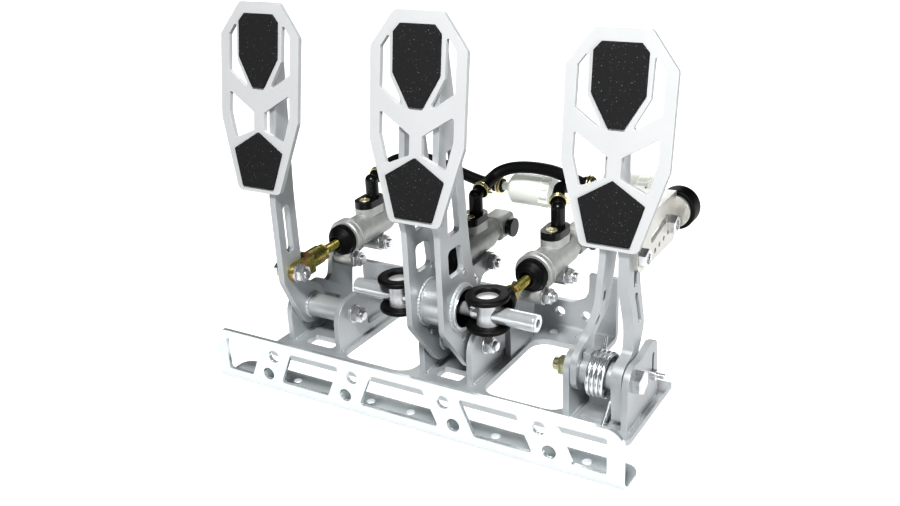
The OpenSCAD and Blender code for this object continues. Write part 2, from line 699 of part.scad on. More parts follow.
// Pivot bolts and their nuts
module pivot_bolt(x0, x1, y, z, r, dir) {
    l = x1 - x0 + washer_t + nut_h(r) + 3;
    bolt_x(dir > 0 ? x0 : x1, l, y, z, r, dir);
}
module pivot_bolts() {
    color([0.62, 0.63, 0.65]) {
        pivot_bolt(clutch_left - bracket_t, clutch_right + bracket_t, pivot_y, pivot_z, pivot_r, 1);
        pivot_bolt(brake_left - bracket_t, brake_right + bracket_t, pivot_y, pivot_z, pivot_r, 1);
        pivot_bolt(throttle_left - bracket_t, throttle_right + bracket_t, throttle_pivot_y,
            throttle_pivot_z, throttle_pivot_r, -1);
    }
}
module pivot_nuts() {
    color([0.70, 0.66, 0.48]) {
        nut_x(clutch_right + bracket_t, pivot_y, pivot_z, pivot_r, 1);
        nut_x(brake_right + bracket_t, pivot_y, pivot_z, pivot_r, 1);
        nut_x(throttle_left - bracket_t, throttle_pivot_y, throttle_pivot_z, throttle_pivot_r, -1);
    }
}

// Throttle return spring: front leg on the base, curls round the sleeve, upright rear leg
spring_r = (spring_d - spring_wire) / 2;
leg_angle = -53;
exit_angle = -17;
curl_rings = 8;
spring_x = throttle_arm_x - 3 - spring_wire / 2;
spring_turn = 360 * spring_curls + exit_angle - leg_angle;
function curl_point(a) = [spring_x - spring_pitch * (a - leg_angle) / 360,
    throttle_pivot_y + spring_r * cos(a), throttle_pivot_z + spring_r * sin(a)];
function curl_way(a) = [0, -sin(a), cos(a)];
leg_l = (throttle_pivot_z + spring_r * sin(leg_angle) - base_t - spring_wire / 2 - 0.2) / cos(leg_angle);
curl_steps = ceil(curl_rings * spring_turn / 360);
curl_angles = [for (i = [0 : curl_steps]) leg_angle + spring_turn * i / curl_steps];
rear_leg_l = 24;
spring_path = concat(
    [curl_point(leg_angle) - leg_l * curl_way(leg_angle),
        curl_point(leg_angle) - (leg_l - spring_wire) * curl_way(leg_angle)],
    [for (a = curl_angles) curl_point(a)],
    [curl_point(leg_angle + spring_turn) + (rear_leg_l - spring_wire) * curl_way(exit_angle),
        curl_point(leg_angle + spring_turn) + rear_leg_l * curl_way(exit_angle)]);
// Least gap of the wire to itself, over points more than half a curl apart
spring_gap = min([for (i = [0 : len(spring_path) - 1]) for (j = [i + 5 : 1 : len(spring_path) - 1])
    norm(spring_path[i] - spring_path[j])]) - spring_wire;
module return_spring() {
    echo(return_spring_gap = spring_gap);
    color([0.70, 0.72, 0.74]) swept(spring_path, spring_wire / 2, 6);
}

// Pad plate, in its own plane: u from the middle, v from the bottom edge
function pad_point(a, b, r) = [a * pad_w / 2, b * pad_h, r];
function both_sides(pts) = concat(pts, [for (i = [len(pts) - 1 : -1 : 0]) [-pts[i].x, pts[i].y, pts[i][2]]]);
pad_outline = both_sides([pad_point(-0.54, 0, 5), pad_point(-0.99, 0.39, 6), pad_point(-1, 0.83, 4),
    pad_point(-0.5, 1, 4)]);
side_window = [pad_point(-0.58, 0.9, 1.5), pad_point(-0.78, 0.83, 1.5), pad_point(-0.785, 0.64, 1.5),
    pad_point(-0.23, 0.54, 1.5), pad_point(-0.565, 0.7, 1.5)];
middle_window = [pad_point(-0.775, 0.535, 1.5), pad_point(-0.78, 0.42, 1.5), pad_point(-0.63, 0.28, 1.5),
    pad_point(-0.13, 0.335, 1.5), pad_point(-0.13, 0.43, 1.5)];
upper_grip = both_sides([pad_point(-0.14, 0.56, 1), pad_point(-0.487, 0.715, 1), pad_point(-0.49, 0.9, 1),
    pad_point(-0.35, 0.94, 1)]);
lower_grip = [pad_point(0, 0.325, 1), pad_point(0.615, 0.226, 1), pad_point(0.395, 0.027, 1),
    pad_point(-0.395, 0.027, 1), pad_point(-0.615, 0.226, 1)];
module at_pad(p) { translate([p[0], p[1], p[2]]) rotate([-p[3], 0, 0]) children(); }
module pad_plate(p) {
    color([0.88, 0.89, 0.90]) at_pad(p) plate_y(0, pad_t) difference() {
        polygon(rounded(pad_outline));
        for (w = [side_window, middle_window]) {
            polygon(rounded(w));
            polygon(rounded(mirrored(w)));
        }
    }
}
module pad_grips(p) {
    color([0.13, 0.13, 0.14]) at_pad(p) plate_y(-grip_t, grip_t) {
        polygon(rounded(upper_grip));
        polygon(rounded(lower_grip));
    }
}
module clutch_pad() { pad_plate(clutch_pad_at); }
module clutch_grips() { pad_grips(clutch_pad_at); }
module brake_pad() { pad_plate(brake_pad_at); }
module brake_grips() { pad_grips(brake_pad_at); }
module throttle_pad() { pad_plate(throttle_pad_at); }
module throttle_grips() { pad_grips(throttle_pad_at); }
// Point on a pad's back face at height v, moved back by w
function behind(p, v, w) = [p[1] + v * sin(p[3]) + (pad_t + w) * cos(p[3]),
    p[2] + v * cos(p[3]) - (pad_t + w) * sin(p[3])];
function behind_r(p, v, w, r) = concat(behind(p, v, w), [r]);
arm_top_v = pad_h * 0.87;

// Clutch arm: one plate with a slot, from the pivot up behind the pad
module clutch_arm() {
    p = clutch_pad_at;
    front = pin_y - 13;
    back = pin_y + 11;
    color([0.74, 0.76, 0.77]) difference() {
        plate_x(clutch_arm_x, clutch_arm_t) difference() {
            polygon(rounded([behind_r(p, arm_top_v, 0, 0), behind_r(p, arm_top_v, arm_top_w, 3),
                [back, p[2] - 6, 20], [back, pin_z - 10, 8], [pivot_y + 15, pivot_z + 12, 14],
                [pivot_y + 15, pivot_z - 15, 14], [pivot_y - 12, pivot_z - 15, 14],
                [front, pin_z - 6, 10], [front, p[2] - 8, 10], behind_r(p, 0, 0, 0)]));
            polygon(box_points(pin_y - 5, pin_z + 18, pin_y + 3, p[2] - 14, 3.9));
        }
        bar_x(clutch_arm_x - cut, clutch_arm_x + clutch_arm_t + cut, pivot_y, pivot_z, pivot_r + run_gap);
        bar_x(clutch_arm_x - cut, clutch_arm_x + clutch_arm_t + cut, pin_y, pin_z, pin_r + run_gap);
    }
}
module clutch_pivot_tube() {
    color([0.74, 0.76, 0.77]) ring_x(clutch_arm_x + clutch_arm_t, clutch_right - side_gap, pivot_y, pivot_z,
        pivot_tube_r, pivot_r + run_gap);
}

// Shapes of a push-rod body lie along Y and then tilt about the pin
module on_rod() {
    translate([0, pin_y, pin_z]) rotate([rod_tilt, 0, 0]) translate([0, -pin_y, -pin_z]) children();
}
fork_gap = 0.4;
ear_t = 5;
ear_h = 16;
fork_l = 22;
neck_l = 16;
fork_out = clutch_arm_t / 2 + fork_gap + ear_t;
module clutch_clevis() {
    back = pin_y + fork_l;
    color([0.79, 0.67, 0.33]) on_rod() difference() {
        union() {
            translate([clutch_mid_x - fork_out, pin_y, pin_z - ear_h / 2])
                cube([2 * fork_out, fork_l, ear_h]);
            bar_x(clutch_mid_x - fork_out, clutch_mid_x + fork_out, pin_y, pin_z, ear_h / 2);
            bar_y(back - 0.5, back + neck_l, clutch_mid_x, pin_z, ear_h / 2);
        }
        translate([clutch_mid_x - clutch_arm_t / 2 - fork_gap, pin_y - ear_h, pin_z - ear_h])
            cube([clutch_arm_t + 2 * fork_gap, fork_l + ear_h - 6, 2 * ear_h]);
        bar_x(clutch_mid_x - ear_h, clutch_mid_x + ear_h, pin_y, pin_z, pin_r + bolt_gap);
        bar_y(back - 7, back + neck_l + cut, clutch_mid_x, pin_z, rod_r + bolt_gap);
    }
}
module clutch_clevis_bolt() {
    color([0.66, 0.67, 0.69])
        bolt_x(clutch_mid_x - fork_out, 2 * fork_out + washer_t + nut_h(pin_r) + 2, pin_y, pin_z, pin_r, 1);
}
module clutch_clevis_nut() {
    color([0.66, 0.67, 0.69]) nut_x(clutch_mid_x + fork_out, pin_y, pin_z, pin_r, 1);
}
// Push-rod from its clevis to its ball, with a locknut against the clevis
module pushrod(x, y0, lock_y) {
    color([0.80, 0.70, 0.38]) on_rod() union() {
        bar_y(y0, pin_y + rod_l, x, pin_z, rod_r);
        translate([x, pin_y + rod_l, pin_z]) sphere(ball_r);
        translate([x, lock_y, pin_z]) rotate([-90, 0, 0]) cylinder(h = 6, r = rod_r * 2, $fn = 6);
    }
}
module clutch_pushrod() {
    pushrod(cyl_xs[0], pin_y + fork_l - 5, pin_y + fork_l + neck_l);
}
// Piston with a cup for the push-rod's ball
module piston(x) {
    color([0.60, 0.61, 0.63]) difference() {
        bar_y(piston_front, piston_front + piston_l, x, cyl_z, cyl_bore_r - run_gap);
        bar_y(piston_front - cut, cup_floor, x, cyl_z, ball_r + cup_gap);
    }
}
module clutch_piston() { piston(cyl_xs[0]); }
module piston_left() { piston(cyl_xs[1]); }
module piston_right() { piston(cyl_xs[2]); }

// Brake arms: two windowed plates joined by the balance bar's tube and the pivot tube
arm_hole_gap = 0.1;
// Lower and upper ends of the two windows in an arm, measured from the balance bar
window_zs = [29, 51, 62, 125];
module brake_arm(x) {
    p = brake_pad_at;
    front = pin_y - 27;
    color([0.76, 0.78, 0.79]) difference() {
        plate_x(x, brake_arm_t) difference() {
            polygon(rounded([behind_r(p, arm_top_v, 0, 0), behind_r(p, arm_top_v, arm_top_w, 3),
                [pin_y + 10, p[2] + 30, 60], [pin_y + 16, pin_z + 40, 40], [pin_y + 21, pin_z + 17, 20],
                [pivot_y + 18, pivot_z + 10, 16], [pivot_y + 18, pivot_z - 18, 16],
                [pivot_y - 13, pivot_z - 18, 16], [front, pin_z - 12, 10], [front, p[2] - 10, 10],
                behind_r(p, 0, 0, 0)]));
            polygon(rounded([[pin_y - 16, pin_z + window_zs[0], 4], [pin_y + 5, pin_z + window_zs[0], 4],
                [pin_y + 2, pin_z + window_zs[1], 4], [pin_y - 16, pin_z + window_zs[1], 4]]));
            polygon(rounded([[pin_y - 15, pin_z + window_zs[2], 3], [pin_y + 2, pin_z + window_zs[2], 3],
                [pin_y - 3, pin_z + window_zs[3], 3], [pin_y - 12, pin_z + window_zs[3], 3]]));
        }
        bar_x(x - cut, x + brake_arm_t + cut, pivot_y, pivot_z, pivot_tube_r + arm_hole_gap);
        bar_x(x - cut, x + brake_arm_t + cut, pin_y, pin_z, bias_tube_r + arm_hole_gap);
    }
}
module brake_arm_left() { brake_arm(brake_x - brake_arm_out); }
module brake_arm_right() { brake_arm(brake_x + brake_arm_out - brake_arm_t); }
module brake_pivot_tube() {
    color([0.74, 0.76, 0.77]) ring_x(brake_left + side_gap, brake_right - side_gap, pivot_y, pivot_z,
        pivot_tube_r, pivot_r + run_gap);
}
bias_tube_half = brake_arm_out + bias_tube_rim;
bias_bore_r = bias_tube_r - bias_tube_wall;
module bias_tube() {
    color([0.80, 0.82, 0.83]) ring_x(brake_x - bias_tube_half, brake_x + bias_tube_half, pin_y, pin_z,
        bias_tube_r, bias_bore_r);
}
module bias_bearing() {
    color([0.55, 0.56, 0.58]) ring_x(brake_x - bias_bearing_l / 2, brake_x + bias_bearing_l / 2, pin_y, pin_z,
        bias_bore_r - run_gap, bias_bar_r + run_gap);
}
socket_w = 6;
module bias_bar() {
    x0 = brake_x - bias_bar_l / 2;
    x1 = brake_x + bias_bar_l / 2;
    color([0.80, 0.82, 0.84]) difference() {
        bar_x(x0, x1, pin_y, pin_z, bias_bar_r);
        hex_x(x0 - cut, x0 + 7, pin_y, pin_z, socket_w);
        hex_x(x1 - 7, x1 + cut, pin_y, pin_z, socket_w);
    }
}

// Clevis of the balance bar: two round heads over a trunnion, joined behind it
head_t = 4.5;
// The heads' inner faces above and below the bar's axis
head_up = 11.7;
head_down = 7.5;
// Each trunnion ends inside the heads, below their faces
trunnion_in = 3.2;
bridge_y = 20;
bridge_l = 10;
module bias_clevis(x) {
    low = pin_z - head_down - head_t;
    all_h = head_up + head_down + 2 * head_t;
    color([0.10, 0.10, 0.10]) on_rod() difference() {
        union() {
            translate([x, pin_y, low]) cylinder(h = all_h, r = clevis_r);
            translate([x - 11, pin_y, low]) cube([22, bridge_y + bridge_l - 4, all_h]);
            bar_y(pin_y + bridge_y, pin_y + bridge_y + bridge_l, x, pin_z, 11);
        }
        translate([x - 2 * clevis_r, pin_y - 2 * clevis_r, pin_z - head_down])
            cube([4 * clevis_r, 2 * clevis_r + bridge_y, head_up + head_down]);
        translate([x, pin_y, low - cut]) cylinder(h = all_h + 2 * cut, r = trunnion_r + bolt_gap);
        bar_y(pin_y + bridge_y - cut, pin_y + bridge_y + bridge_l + cut, x, pin_z, rod_r + bolt_gap);
    }
}
module trunnion(x) {
    down = head_down + head_t - trunnion_in;
    up = head_up + head_t - trunnion_in;
    color([0.84, 0.85, 0.87]) on_rod() difference() {
        translate([x, pin_y, pin_z - down]) cylinder(h = down + up, r = trunnion_r);
        bar_x(x - 2 * trunnion_r, x + 2 * trunnion_r, pin_y, pin_z, bias_bar_r + run_gap);
    }
}
module brake_clevis_left() { bias_clevis(cyl_xs[1]); }
module brake_clevis_right() { bias_clevis(cyl_xs[2]); }
module trunnion_left() { trunnion(cyl_xs[1]); }
module trunnion_right() { trunnion(cyl_xs[2]); }
module pushrod_left() { pushrod(cyl_xs[1], pin_y + bridge_y + 1, pin_y + bridge_y + bridge_l); }
module pushrod_right() { pushrod(cyl_xs[2], pin_y + bridge_y + 1, pin_y + bridge_y + bridge_l); }

// Throttle arm: thick plate with a round foot, bent inwards twice: a little below the stop bracket and
// again above it, so that it ends behind the middle of the pad
arm_in = 5;
arm_top_in = 14;
arm_bends = [72, 104, 132, 166];
arm_bend_r = 40;
stop_x = throttle_arm_x + throttle_arm_t - arm_in;
// A row of slots, given by their lower and upper ends
arm_slots = [[34, 57], [61, 75], [79, 87]];
// Corners of the window above the slots, measured from the pivot
arm_window = [[20, 92], [27, 90], [29, 103], [22, 105]];
module throttle_arm() {
    p = throttle_pad_at;
    y = throttle_pivot_y;
    z = throttle_pivot_z;
    x0 = throttle_arm_x;
    x1 = throttle_arm_x + throttle_arm_t;
    r_in = arm_bend_r;
    r_out = arm_bend_r + throttle_arm_t;
    color([0.76, 0.78, 0.79]) difference() {
        intersection() {
            plate_y(y - 60, 160) polygon(rounded([[x0, 0], [x1, 0], [x1, arm_bends[0], r_in],
                [x1 - arm_in, arm_bends[1], r_out], [x1 - arm_in, arm_bends[2], r_in],
                [x1 - arm_top_in, arm_bends[3], r_out], [x1 - arm_top_in, 300], [x0 - arm_top_in, 300],
                [x0 - arm_top_in, arm_bends[3] - 1, r_in], [x0 - arm_in, arm_bends[2] - 1, r_out],
                [x0 - arm_in, arm_bends[1] - 1, r_in], [x0, arm_bends[0] - 1, r_out]]));
            plate_x(x0 - arm_top_in - cut, throttle_arm_t + arm_top_in + 2 * cut) difference() {
                polygon(rounded([behind_r(p, pad_h * 0.62, 0, 0), behind_r(p, pad_h * 0.62, arm_top_w, 3),
                    [y + 34, p[2] - 4, 10], [y + 30, z + 30, 40], [y + 15, z + 6, 12],
                    [y + 12, base_t + 3, 6], [y - 10, base_t + 3, 6], [y - 14, z + 13, 13],
                    [y + 8, z + 16, 6], [y + 11, z + 40, 60], behind_r(p, 0, 0, 2)]));
                for (s = arm_slots) polygon(box_points(y + 20, z + s[0], y + 25, z + s[1], 2.4));
                polygon(rounded([for (c = arm_window) [y + c.x, z + c.y, 2]]));
            }
        }
        bar_x(x0 - cut, x1 + cut, y, z, throttle_pivot_r + run_gap);
        for (b = stop_bolts) bar_x(x0 - arm_top_in - cut, x1 + cut, b.x, b.y, stop_bolt_r + bolt_gap);
    }
}
// Throttle strap: bent plate from the left end of the sleeve to the pad
module throttle_strap() {
    p = throttle_pad_at;
    y = throttle_pivot_y;
    z = throttle_pivot_z;
    x0 = strap_x;
    x1 = throttle_arm_x - arm_top_in - strap_t;
    bend_low = z + 20;
    bend_mid = z + 44;
    bend_top = p[2] - 6;
    mid_x = x0 + 0.7 * (x1 - x0);
    color([0.76, 0.78, 0.79]) difference() {
        intersection() {
            plate_y(y - 40, 120) polygon(rounded([[x0, z - 20], [x0 + strap_t, z - 20],
                [x0 + strap_t, bend_low - 1, 20], [mid_x + strap_t, bend_mid - 1, 60],
                [x1 + strap_t, bend_top - 1, 40], [x1 + strap_t, p[2] + 80], [x1, p[2] + 80],
                [x1, bend_top + 1, 40 + strap_t], [mid_x, bend_mid + 1, 60 - strap_t],
                [x0, bend_low + 1, 20 + strap_t]]));
            plate_x(x0 - cut, x1 - x0 + strap_t + 2 * cut) difference() {
                polygon(rounded([behind_r(p, pad_h * 0.45, 0, 0), behind_r(p, pad_h * 0.45, arm_top_w, 3),
                    [y + 32, p[2] - 6, 10], [y + 26, z + 34, 20], [y + 14, z + 4, 12],
                    [y + 14, z - 14, 12], [y - 14, z - 14, 12], [y - 14, z + 14, 12], [y + 4, z + 24, 12],
                    [y + 9, z + 50, 40], behind_r(p, 0, 0, 2)]));
                polygon(box_points(y + 9, z + 32, y + 13, z + 40, 1.9));
                polygon(box_points(y + 13, z + 50, y + 17, z + 58, 1.9));
            }
        }
        bar_x(x0 - cut, x0 + strap_t + cut, y, z, throttle_pivot_r + run_gap);
    }
}
// Sleeve between strap and arm, with the block that keeps the spring in place
module throttle_sleeve() {
    x0 = strap_x + strap_t;
    color([0.72, 0.74, 0.75]) difference() {
        union() {
            bar_x(x0, throttle_arm_x, throttle_pivot_y, throttle_pivot_z, pivot_tube_r);
            translate([x0 + 1, throttle_pivot_y - 4, throttle_pivot_z]) cube([6, 8, pivot_tube_r + 6]);
        }
        bar_x(x0 - cut, throttle_arm_x + cut, throttle_pivot_y, throttle_pivot_z, throttle_pivot_r + run_gap);
    }
}

// Adjustable stop bracket beside the throttle arm: slotted side, top flange, buffer at its end
stop_t = 3;
stop_y0 = -32;
stop_y1 = 46;
stop_z0 = 112;
stop_z1 = 150;
stop_flange_y = 2;
stop_flange_w = 36;
stop_bolt_r = 4;
stop_bolts = [[-24, 123]];
module stop_bracket() {
    x = stop_x;
    color([0.78, 0.75, 0.66]) difference() {
        union() {
            plate_x(x, stop_t) difference() {
                polygon(rounded([[stop_y0, stop_z0, 8], [stop_y1, stop_z0, 6], [stop_y1, stop_z1],
                    [stop_flange_y - 10, stop_z1, 10], [stop_y0, stop_z0 + 22, 8]]));
                polygon(rounded([[-6, 126, 2.4], [28, 132, 2.4], [28, 138, 2.4], [-6, 132, 2.4]]));
            }
            translate([x + stop_t - stop_flange_w, stop_flange_y, stop_z1 - stop_t])
                cube([stop_flange_w, stop_y1 - stop_flange_y, stop_t]);
        }
        for (b = concat(stop_bolts, [slot_bolt]))
            bar_x(x - cut, x + stop_t + cut, b.x, b.y, stop_bolt_r + bolt_gap);
        for (i = [0 : 4]) bar_x(x - cut, x + stop_t + cut, -6 + 9 * i, 117 + 1.4 * i, 2);
        for (y = [16, 44]) translate([x - 18, y, stop_z1 - stop_t - cut])
            cylinder(h = stop_t + 2 * cut, r = 3);
    }
}
slot_bolt = [36, 127];
module stop_bracket_bolts() {
    x = stop_x;
    color([0.62, 0.63, 0.65]) {
        for (b = stop_bolts) {
            bolt_x(x + stop_t, stop_t + throttle_arm_t + 2, b.x, b.y, stop_bolt_r, -1);
        }
        bolt_x(x + stop_t, stop_t + 8, slot_bolt.x, slot_bolt.y, stop_bolt_r, -1);
    }
}
buffer_r = 15.5;
buffer_l = 15;
buffer_in = 4;
disc_t = 3;
disc_r = 12.5;
buffer_at = [stop_x + arm_in - buffer_in, stop_y1, stop_z1 - 17];
module stop_buffer() {
    color([0.07, 0.07, 0.07]) bar_y(buffer_at.y + disc_t, buffer_at.y + disc_t + buffer_l, buffer_at.x,
        buffer_at.z, buffer_r);
}
module buffer_disc() {
    color([0.78, 0.76, 0.70])
        bar_y(buffer_at.y, buffer_at.y + disc_t, buffer_at.x, buffer_at.z, disc_r);
}

base_plate();
heel_rail();
clutch_bracket();
brake_bracket();
throttle_bracket();
cylinder_plates();
clutch_cylinder();
brake_cylinder_left();
brake_cylinder_right();
cylinder_boots();
cylinder_bolts();
cylinder_nuts();
port_elbows();
elbow_screws();
end_plugs();
hose_clutch();
hose_brake_left();
hose_brake_right();
hose_clamps();
reservoirs();
reservoir_caps();
pivot_bolts();
pivot_nuts();
return_spring();
stop_screw();
clutch_arm();
clutch_pivot_tube();
clutch_pad();
clutch_grips();
clutch_clevis();
clutch_clevis_bolt();
clutch_clevis_nut();
clutch_pushrod();
clutch_piston();
brake_arm_left();
brake_arm_right();
brake_pivot_tube();
bias_tube();
brake_pad();
brake_grips();
bias_bearing();
bias_bar();
brake_clevis_left();
trunnion_left();
pushrod_left();
piston_left();
brake_clevis_right();
trunnion_right();
pushrod_right();
piston_right();
throttle_arm();
throttle_strap();
throttle_sleeve();
throttle_pad();
throttle_grips();
stop_bracket();
stop_bracket_bolts();
buffer_disc();
stop_buffer();
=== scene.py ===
"""Dresses the floor-mounted pedal set: finishes, hoses, spring, threads, welds and grips."""
import json
from math import asin, cos, pi, radians, sin

import bmesh
import bpy
from mathutils import Matrix, Vector, noise

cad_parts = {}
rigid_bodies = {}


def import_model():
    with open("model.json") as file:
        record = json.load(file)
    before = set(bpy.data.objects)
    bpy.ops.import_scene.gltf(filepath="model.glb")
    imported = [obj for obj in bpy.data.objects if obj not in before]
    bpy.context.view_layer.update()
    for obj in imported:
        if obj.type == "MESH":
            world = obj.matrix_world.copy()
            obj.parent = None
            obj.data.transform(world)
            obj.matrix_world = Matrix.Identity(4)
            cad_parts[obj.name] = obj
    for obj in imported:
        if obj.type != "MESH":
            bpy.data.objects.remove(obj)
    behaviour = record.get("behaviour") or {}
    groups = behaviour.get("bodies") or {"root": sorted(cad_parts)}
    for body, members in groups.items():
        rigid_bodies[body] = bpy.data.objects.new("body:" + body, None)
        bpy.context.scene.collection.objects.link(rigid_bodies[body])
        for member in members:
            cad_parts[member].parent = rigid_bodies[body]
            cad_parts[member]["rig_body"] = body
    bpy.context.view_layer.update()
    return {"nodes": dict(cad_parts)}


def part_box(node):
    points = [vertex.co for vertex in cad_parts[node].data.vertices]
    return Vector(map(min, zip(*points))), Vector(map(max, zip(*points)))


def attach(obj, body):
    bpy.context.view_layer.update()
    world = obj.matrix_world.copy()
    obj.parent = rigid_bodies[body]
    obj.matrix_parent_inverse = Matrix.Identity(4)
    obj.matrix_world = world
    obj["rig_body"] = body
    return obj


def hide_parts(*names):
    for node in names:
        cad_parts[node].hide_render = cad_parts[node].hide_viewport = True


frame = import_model()

# Camera, floor and light. The camera stands where the photograph was taken from. Floor and backdrop
# are white, as in the cut-out photograph, but shed almost no light on the object. The key light is
# high in front, so what lies behind the pads is in their shadow, and two weak lights fill in.
MM = 0.001
photo_width = 900
sensor_width = 36
focal_px = 990.93
yaw, pitch, roll = radians(31.70), radians(22.33), radians(-2.81)
camera_at = Vector((368.98, -629.59, 392.33)) * MM
ahead = Vector((-sin(yaw) * cos(pitch), cos(yaw) * cos(pitch), -sin(pitch)))
level = Vector((cos(yaw), sin(yaw), 0))
upright = level.cross(ahead)
to_right = cos(roll) * level + sin(roll) * upright
to_top = cos(roll) * upright - sin(roll) * level
scene = bpy.context.scene
camera = bpy.data.objects.new("camera", bpy.data.cameras.new("camera"))
camera.data.sensor_width = sensor_width
camera.data.lens = sensor_width * focal_px / photo_width
camera_turn = Matrix((to_right, to_top, -ahead)).transposed().to_4x4()
camera.matrix_world = Matrix.Translation(camera_at) @ camera_turn
scene.collection.objects.link(camera)
scene.camera = camera
scene.view_settings.view_transform = "Standard"
scene.view_settings.look = "High Contrast"


class Wire:
    """A socket in a node tree. Operators on it add Math nodes."""

    def __init__(self, tree, socket=None):
        self.tree = tree
        self.socket = socket

    def feed(self, value, target):
        if isinstance(value, Wire):
            self.tree.links.new(value.socket, target)
        else:
            target.default_value = value

    def make(self, kind, settings, inputs, out=0):
        node = self.tree.nodes.new("ShaderNode" + kind)
        for key, value in settings.items():
            setattr(node, key, value)
        for key, value in inputs.items():
            self.feed(value, node.inputs[key])
        return Wire(self.tree, node.outputs[out])

    def math(self, operation, *values):
        return self.make("Math", {"operation": operation}, dict(enumerate(values)))

    def along(self, axis):
        return self.make("SeparateXYZ", {}, {0: self}, out=axis)

    def __add__(self, other):
        return self.math("ADD", self, other)

    def __sub__(self, other):
        return self.math("SUBTRACT", self, other)

    def __rsub__(self, other):
        return self.math("SUBTRACT", other, self)

    def __mul__(self, other):
        return self.math("MULTIPLY", self, other)

    def __gt__(self, other):
        return self.math("GREATER_THAN", self, other)

    def __lt__(self, other):
        return self.math("LESS_THAN", self, other)

    __radd__ = __add__
    __rmul__ = __mul__


def mixed(share, first, second):
    """A colour between two colours or wires, by a share from 0 to 1."""
    pair = [tone if isinstance(tone, Wire) else (*tone, 1) for tone in (first, second)]
    return share.make("Mix", {"data_type": "RGBA"}, {0: share, 6: pair[0], 7: pair[1]}, out=2)


def grain(place, size, detail=3):
    """Noise from 0 to 1 whose spots have the given size in millimetres."""
    return place.make("TexNoise", {}, {"Vector": place, "Scale": 1 / (size * MM), "Detail": detail})


def relief(height, depth):
    """A surface normal from a height, with its depth in millimetres."""
    return height.make("Bump", {}, {"Height": height, "Distance": depth * MM})


def finish(name, look, **constants):
    """A material: constants go on the shader's own sockets, and look() returns what varies."""
    material = bpy.data.materials.new(name)
    material.use_nodes = True
    tree = material.node_tree
    shader = tree.nodes["Principled BSDF"]
    for key, value in constants.items():
        socket = key.replace("_", " ").title().replace("Ior", "IOR")
        shader.inputs[socket].default_value = value
    wire = Wire(tree)
    for key, value in look(wire.make("TexCoord", {}, {}, out="Object")).items():
        wire.feed(value, shader.inputs[key])
    return material


# The sky that the metal mirrors is bright in front and above, and dark behind
dark_sky, bright_sky, white = (0.05, 0.06, 0.065), (0.95, 0.97, 1.0), (1, 1, 1)
sky_level, sky_front, sky_top = 0.38, 0.5, 0.42
sky_light = 0.08
world = bpy.data.worlds.new("studio")
scene.world = world
world.use_nodes = True
sky = Wire(world.node_tree)
sky_way = sky.make("TexCoord", {}, {}, out="Generated")
sky_share = sky_level - sky_front * sky_way.along("Y") + sky_top * sky_way.along("Z")
seen = sky.make("LightPath", {}, {}, out="Is Camera Ray")
backdrop = world.node_tree.nodes["Background"]
sky.feed(mixed(seen, mixed(sky_share, dark_sky, bright_sky), white), backdrop.inputs["Color"])
sky.feed(sky_light + (1 - sky_light) * seen, backdrop.inputs["Strength"])
# Name, place and width in metres, power in watts
soft_boxes = [
    ("key_light", (0.3, -0.9, 1.25), 0.25, 17),
    ("side_light", (0.9, -0.4, 0.3), 0.3, 2.4),
    ("back_light", (-0.7, 1.6, 0.9), 0.8, 4),
]
for box_name, box_at, width, power in soft_boxes:
    lamp = bpy.data.lights.new(box_name, "AREA")
    lamp.size = width
    lamp.energy = power
    lamp_piece = bpy.data.objects.new(box_name, lamp)
    lamp_turn = (-Vector(box_at)).to_track_quat("-Z", "Y").to_matrix().to_4x4()
    lamp_piece.matrix_world = Matrix.Translation(box_at) @ lamp_turn
    scene.collection.objects.link(lamp_piece)


def floor_look(place):
    return {"Emission Color": mixed(grain(place, 400), (0.99, 0.99, 0.99), white)}


floor_half = 8
floor_glow = 1.02
floor_mesh = bmesh.new()
bmesh.ops.create_grid(floor_mesh, x_segments=1, y_segments=1, size=floor_half)
floor_data = bpy.data.meshes.new("floor")
floor_mesh.to_mesh(floor_data)
floor_mesh.free()
floor = bpy.data.objects.new("floor", floor_data)
white_floor = finish("white_floor", floor_look, base_color=(0.03, 0.03, 0.03, 1), roughness=1,
                     emission_strength=floor_glow)
floor_data.materials.append(white_floor)
floor.visible_diffuse = False
scene.collection.objects.link(floor)

# Hoses. Black rubber tubes pushed over the elbows and the reservoirs' nipples.
# Their routes repeat the points of the part's source, smoothed to one curve each.
cylinder_xs = (-144.95, -35.5, 42.5)
port_y, elbow_z = 72, 112
outlet_l, outlet_rise = 7, radians(15)
elbow_turns = (0, 0, radians(25))
hose_r = 5.25
# The hose is stretched at its ends, where it sits on the elbow or the nipple
swell, swell_l = 1.2, 9
lead_out, lead_in = 6, 5
nipple_l = 9
reservoir_at = [Vector((-27, 124, 105)), Vector((70, 103, 125)), Vector((78, 134, 102))]
hose_names = ("hose_clutch", "hose_brake_left", "hose_brake_right")
hose_points = [
    [(-144, 103, 120), (-138, 114, 122), (-124, 122, 122), (-106, 125, 119), (-86, 125, 113),
     (-66, 124, 108), (-50, 124, 105)],
    [(-34, 100, 120), (-28, 106, 125), (-16, 109, 129), (0, 109, 131), (20, 107, 131),
     (38, 104, 128), (50, 103, 125)],
    [(32, 98, 119), (33, 108, 118), (40, 119, 114), (50, 128, 108), (59, 134, 103)],
]


def rubber_look(place):
    dust = grain(place, 6)
    return {"Base Color": mixed(dust, (0.006, 0.006, 0.007), (0.015, 0.015, 0.016)),
            "Roughness": 0.4 + 0.2 * dust, "Normal": relief(grain(place, 0.7), 0.05)}


black_rubber = finish("black_rubber", rubber_look, specular_ior_level=0.3)


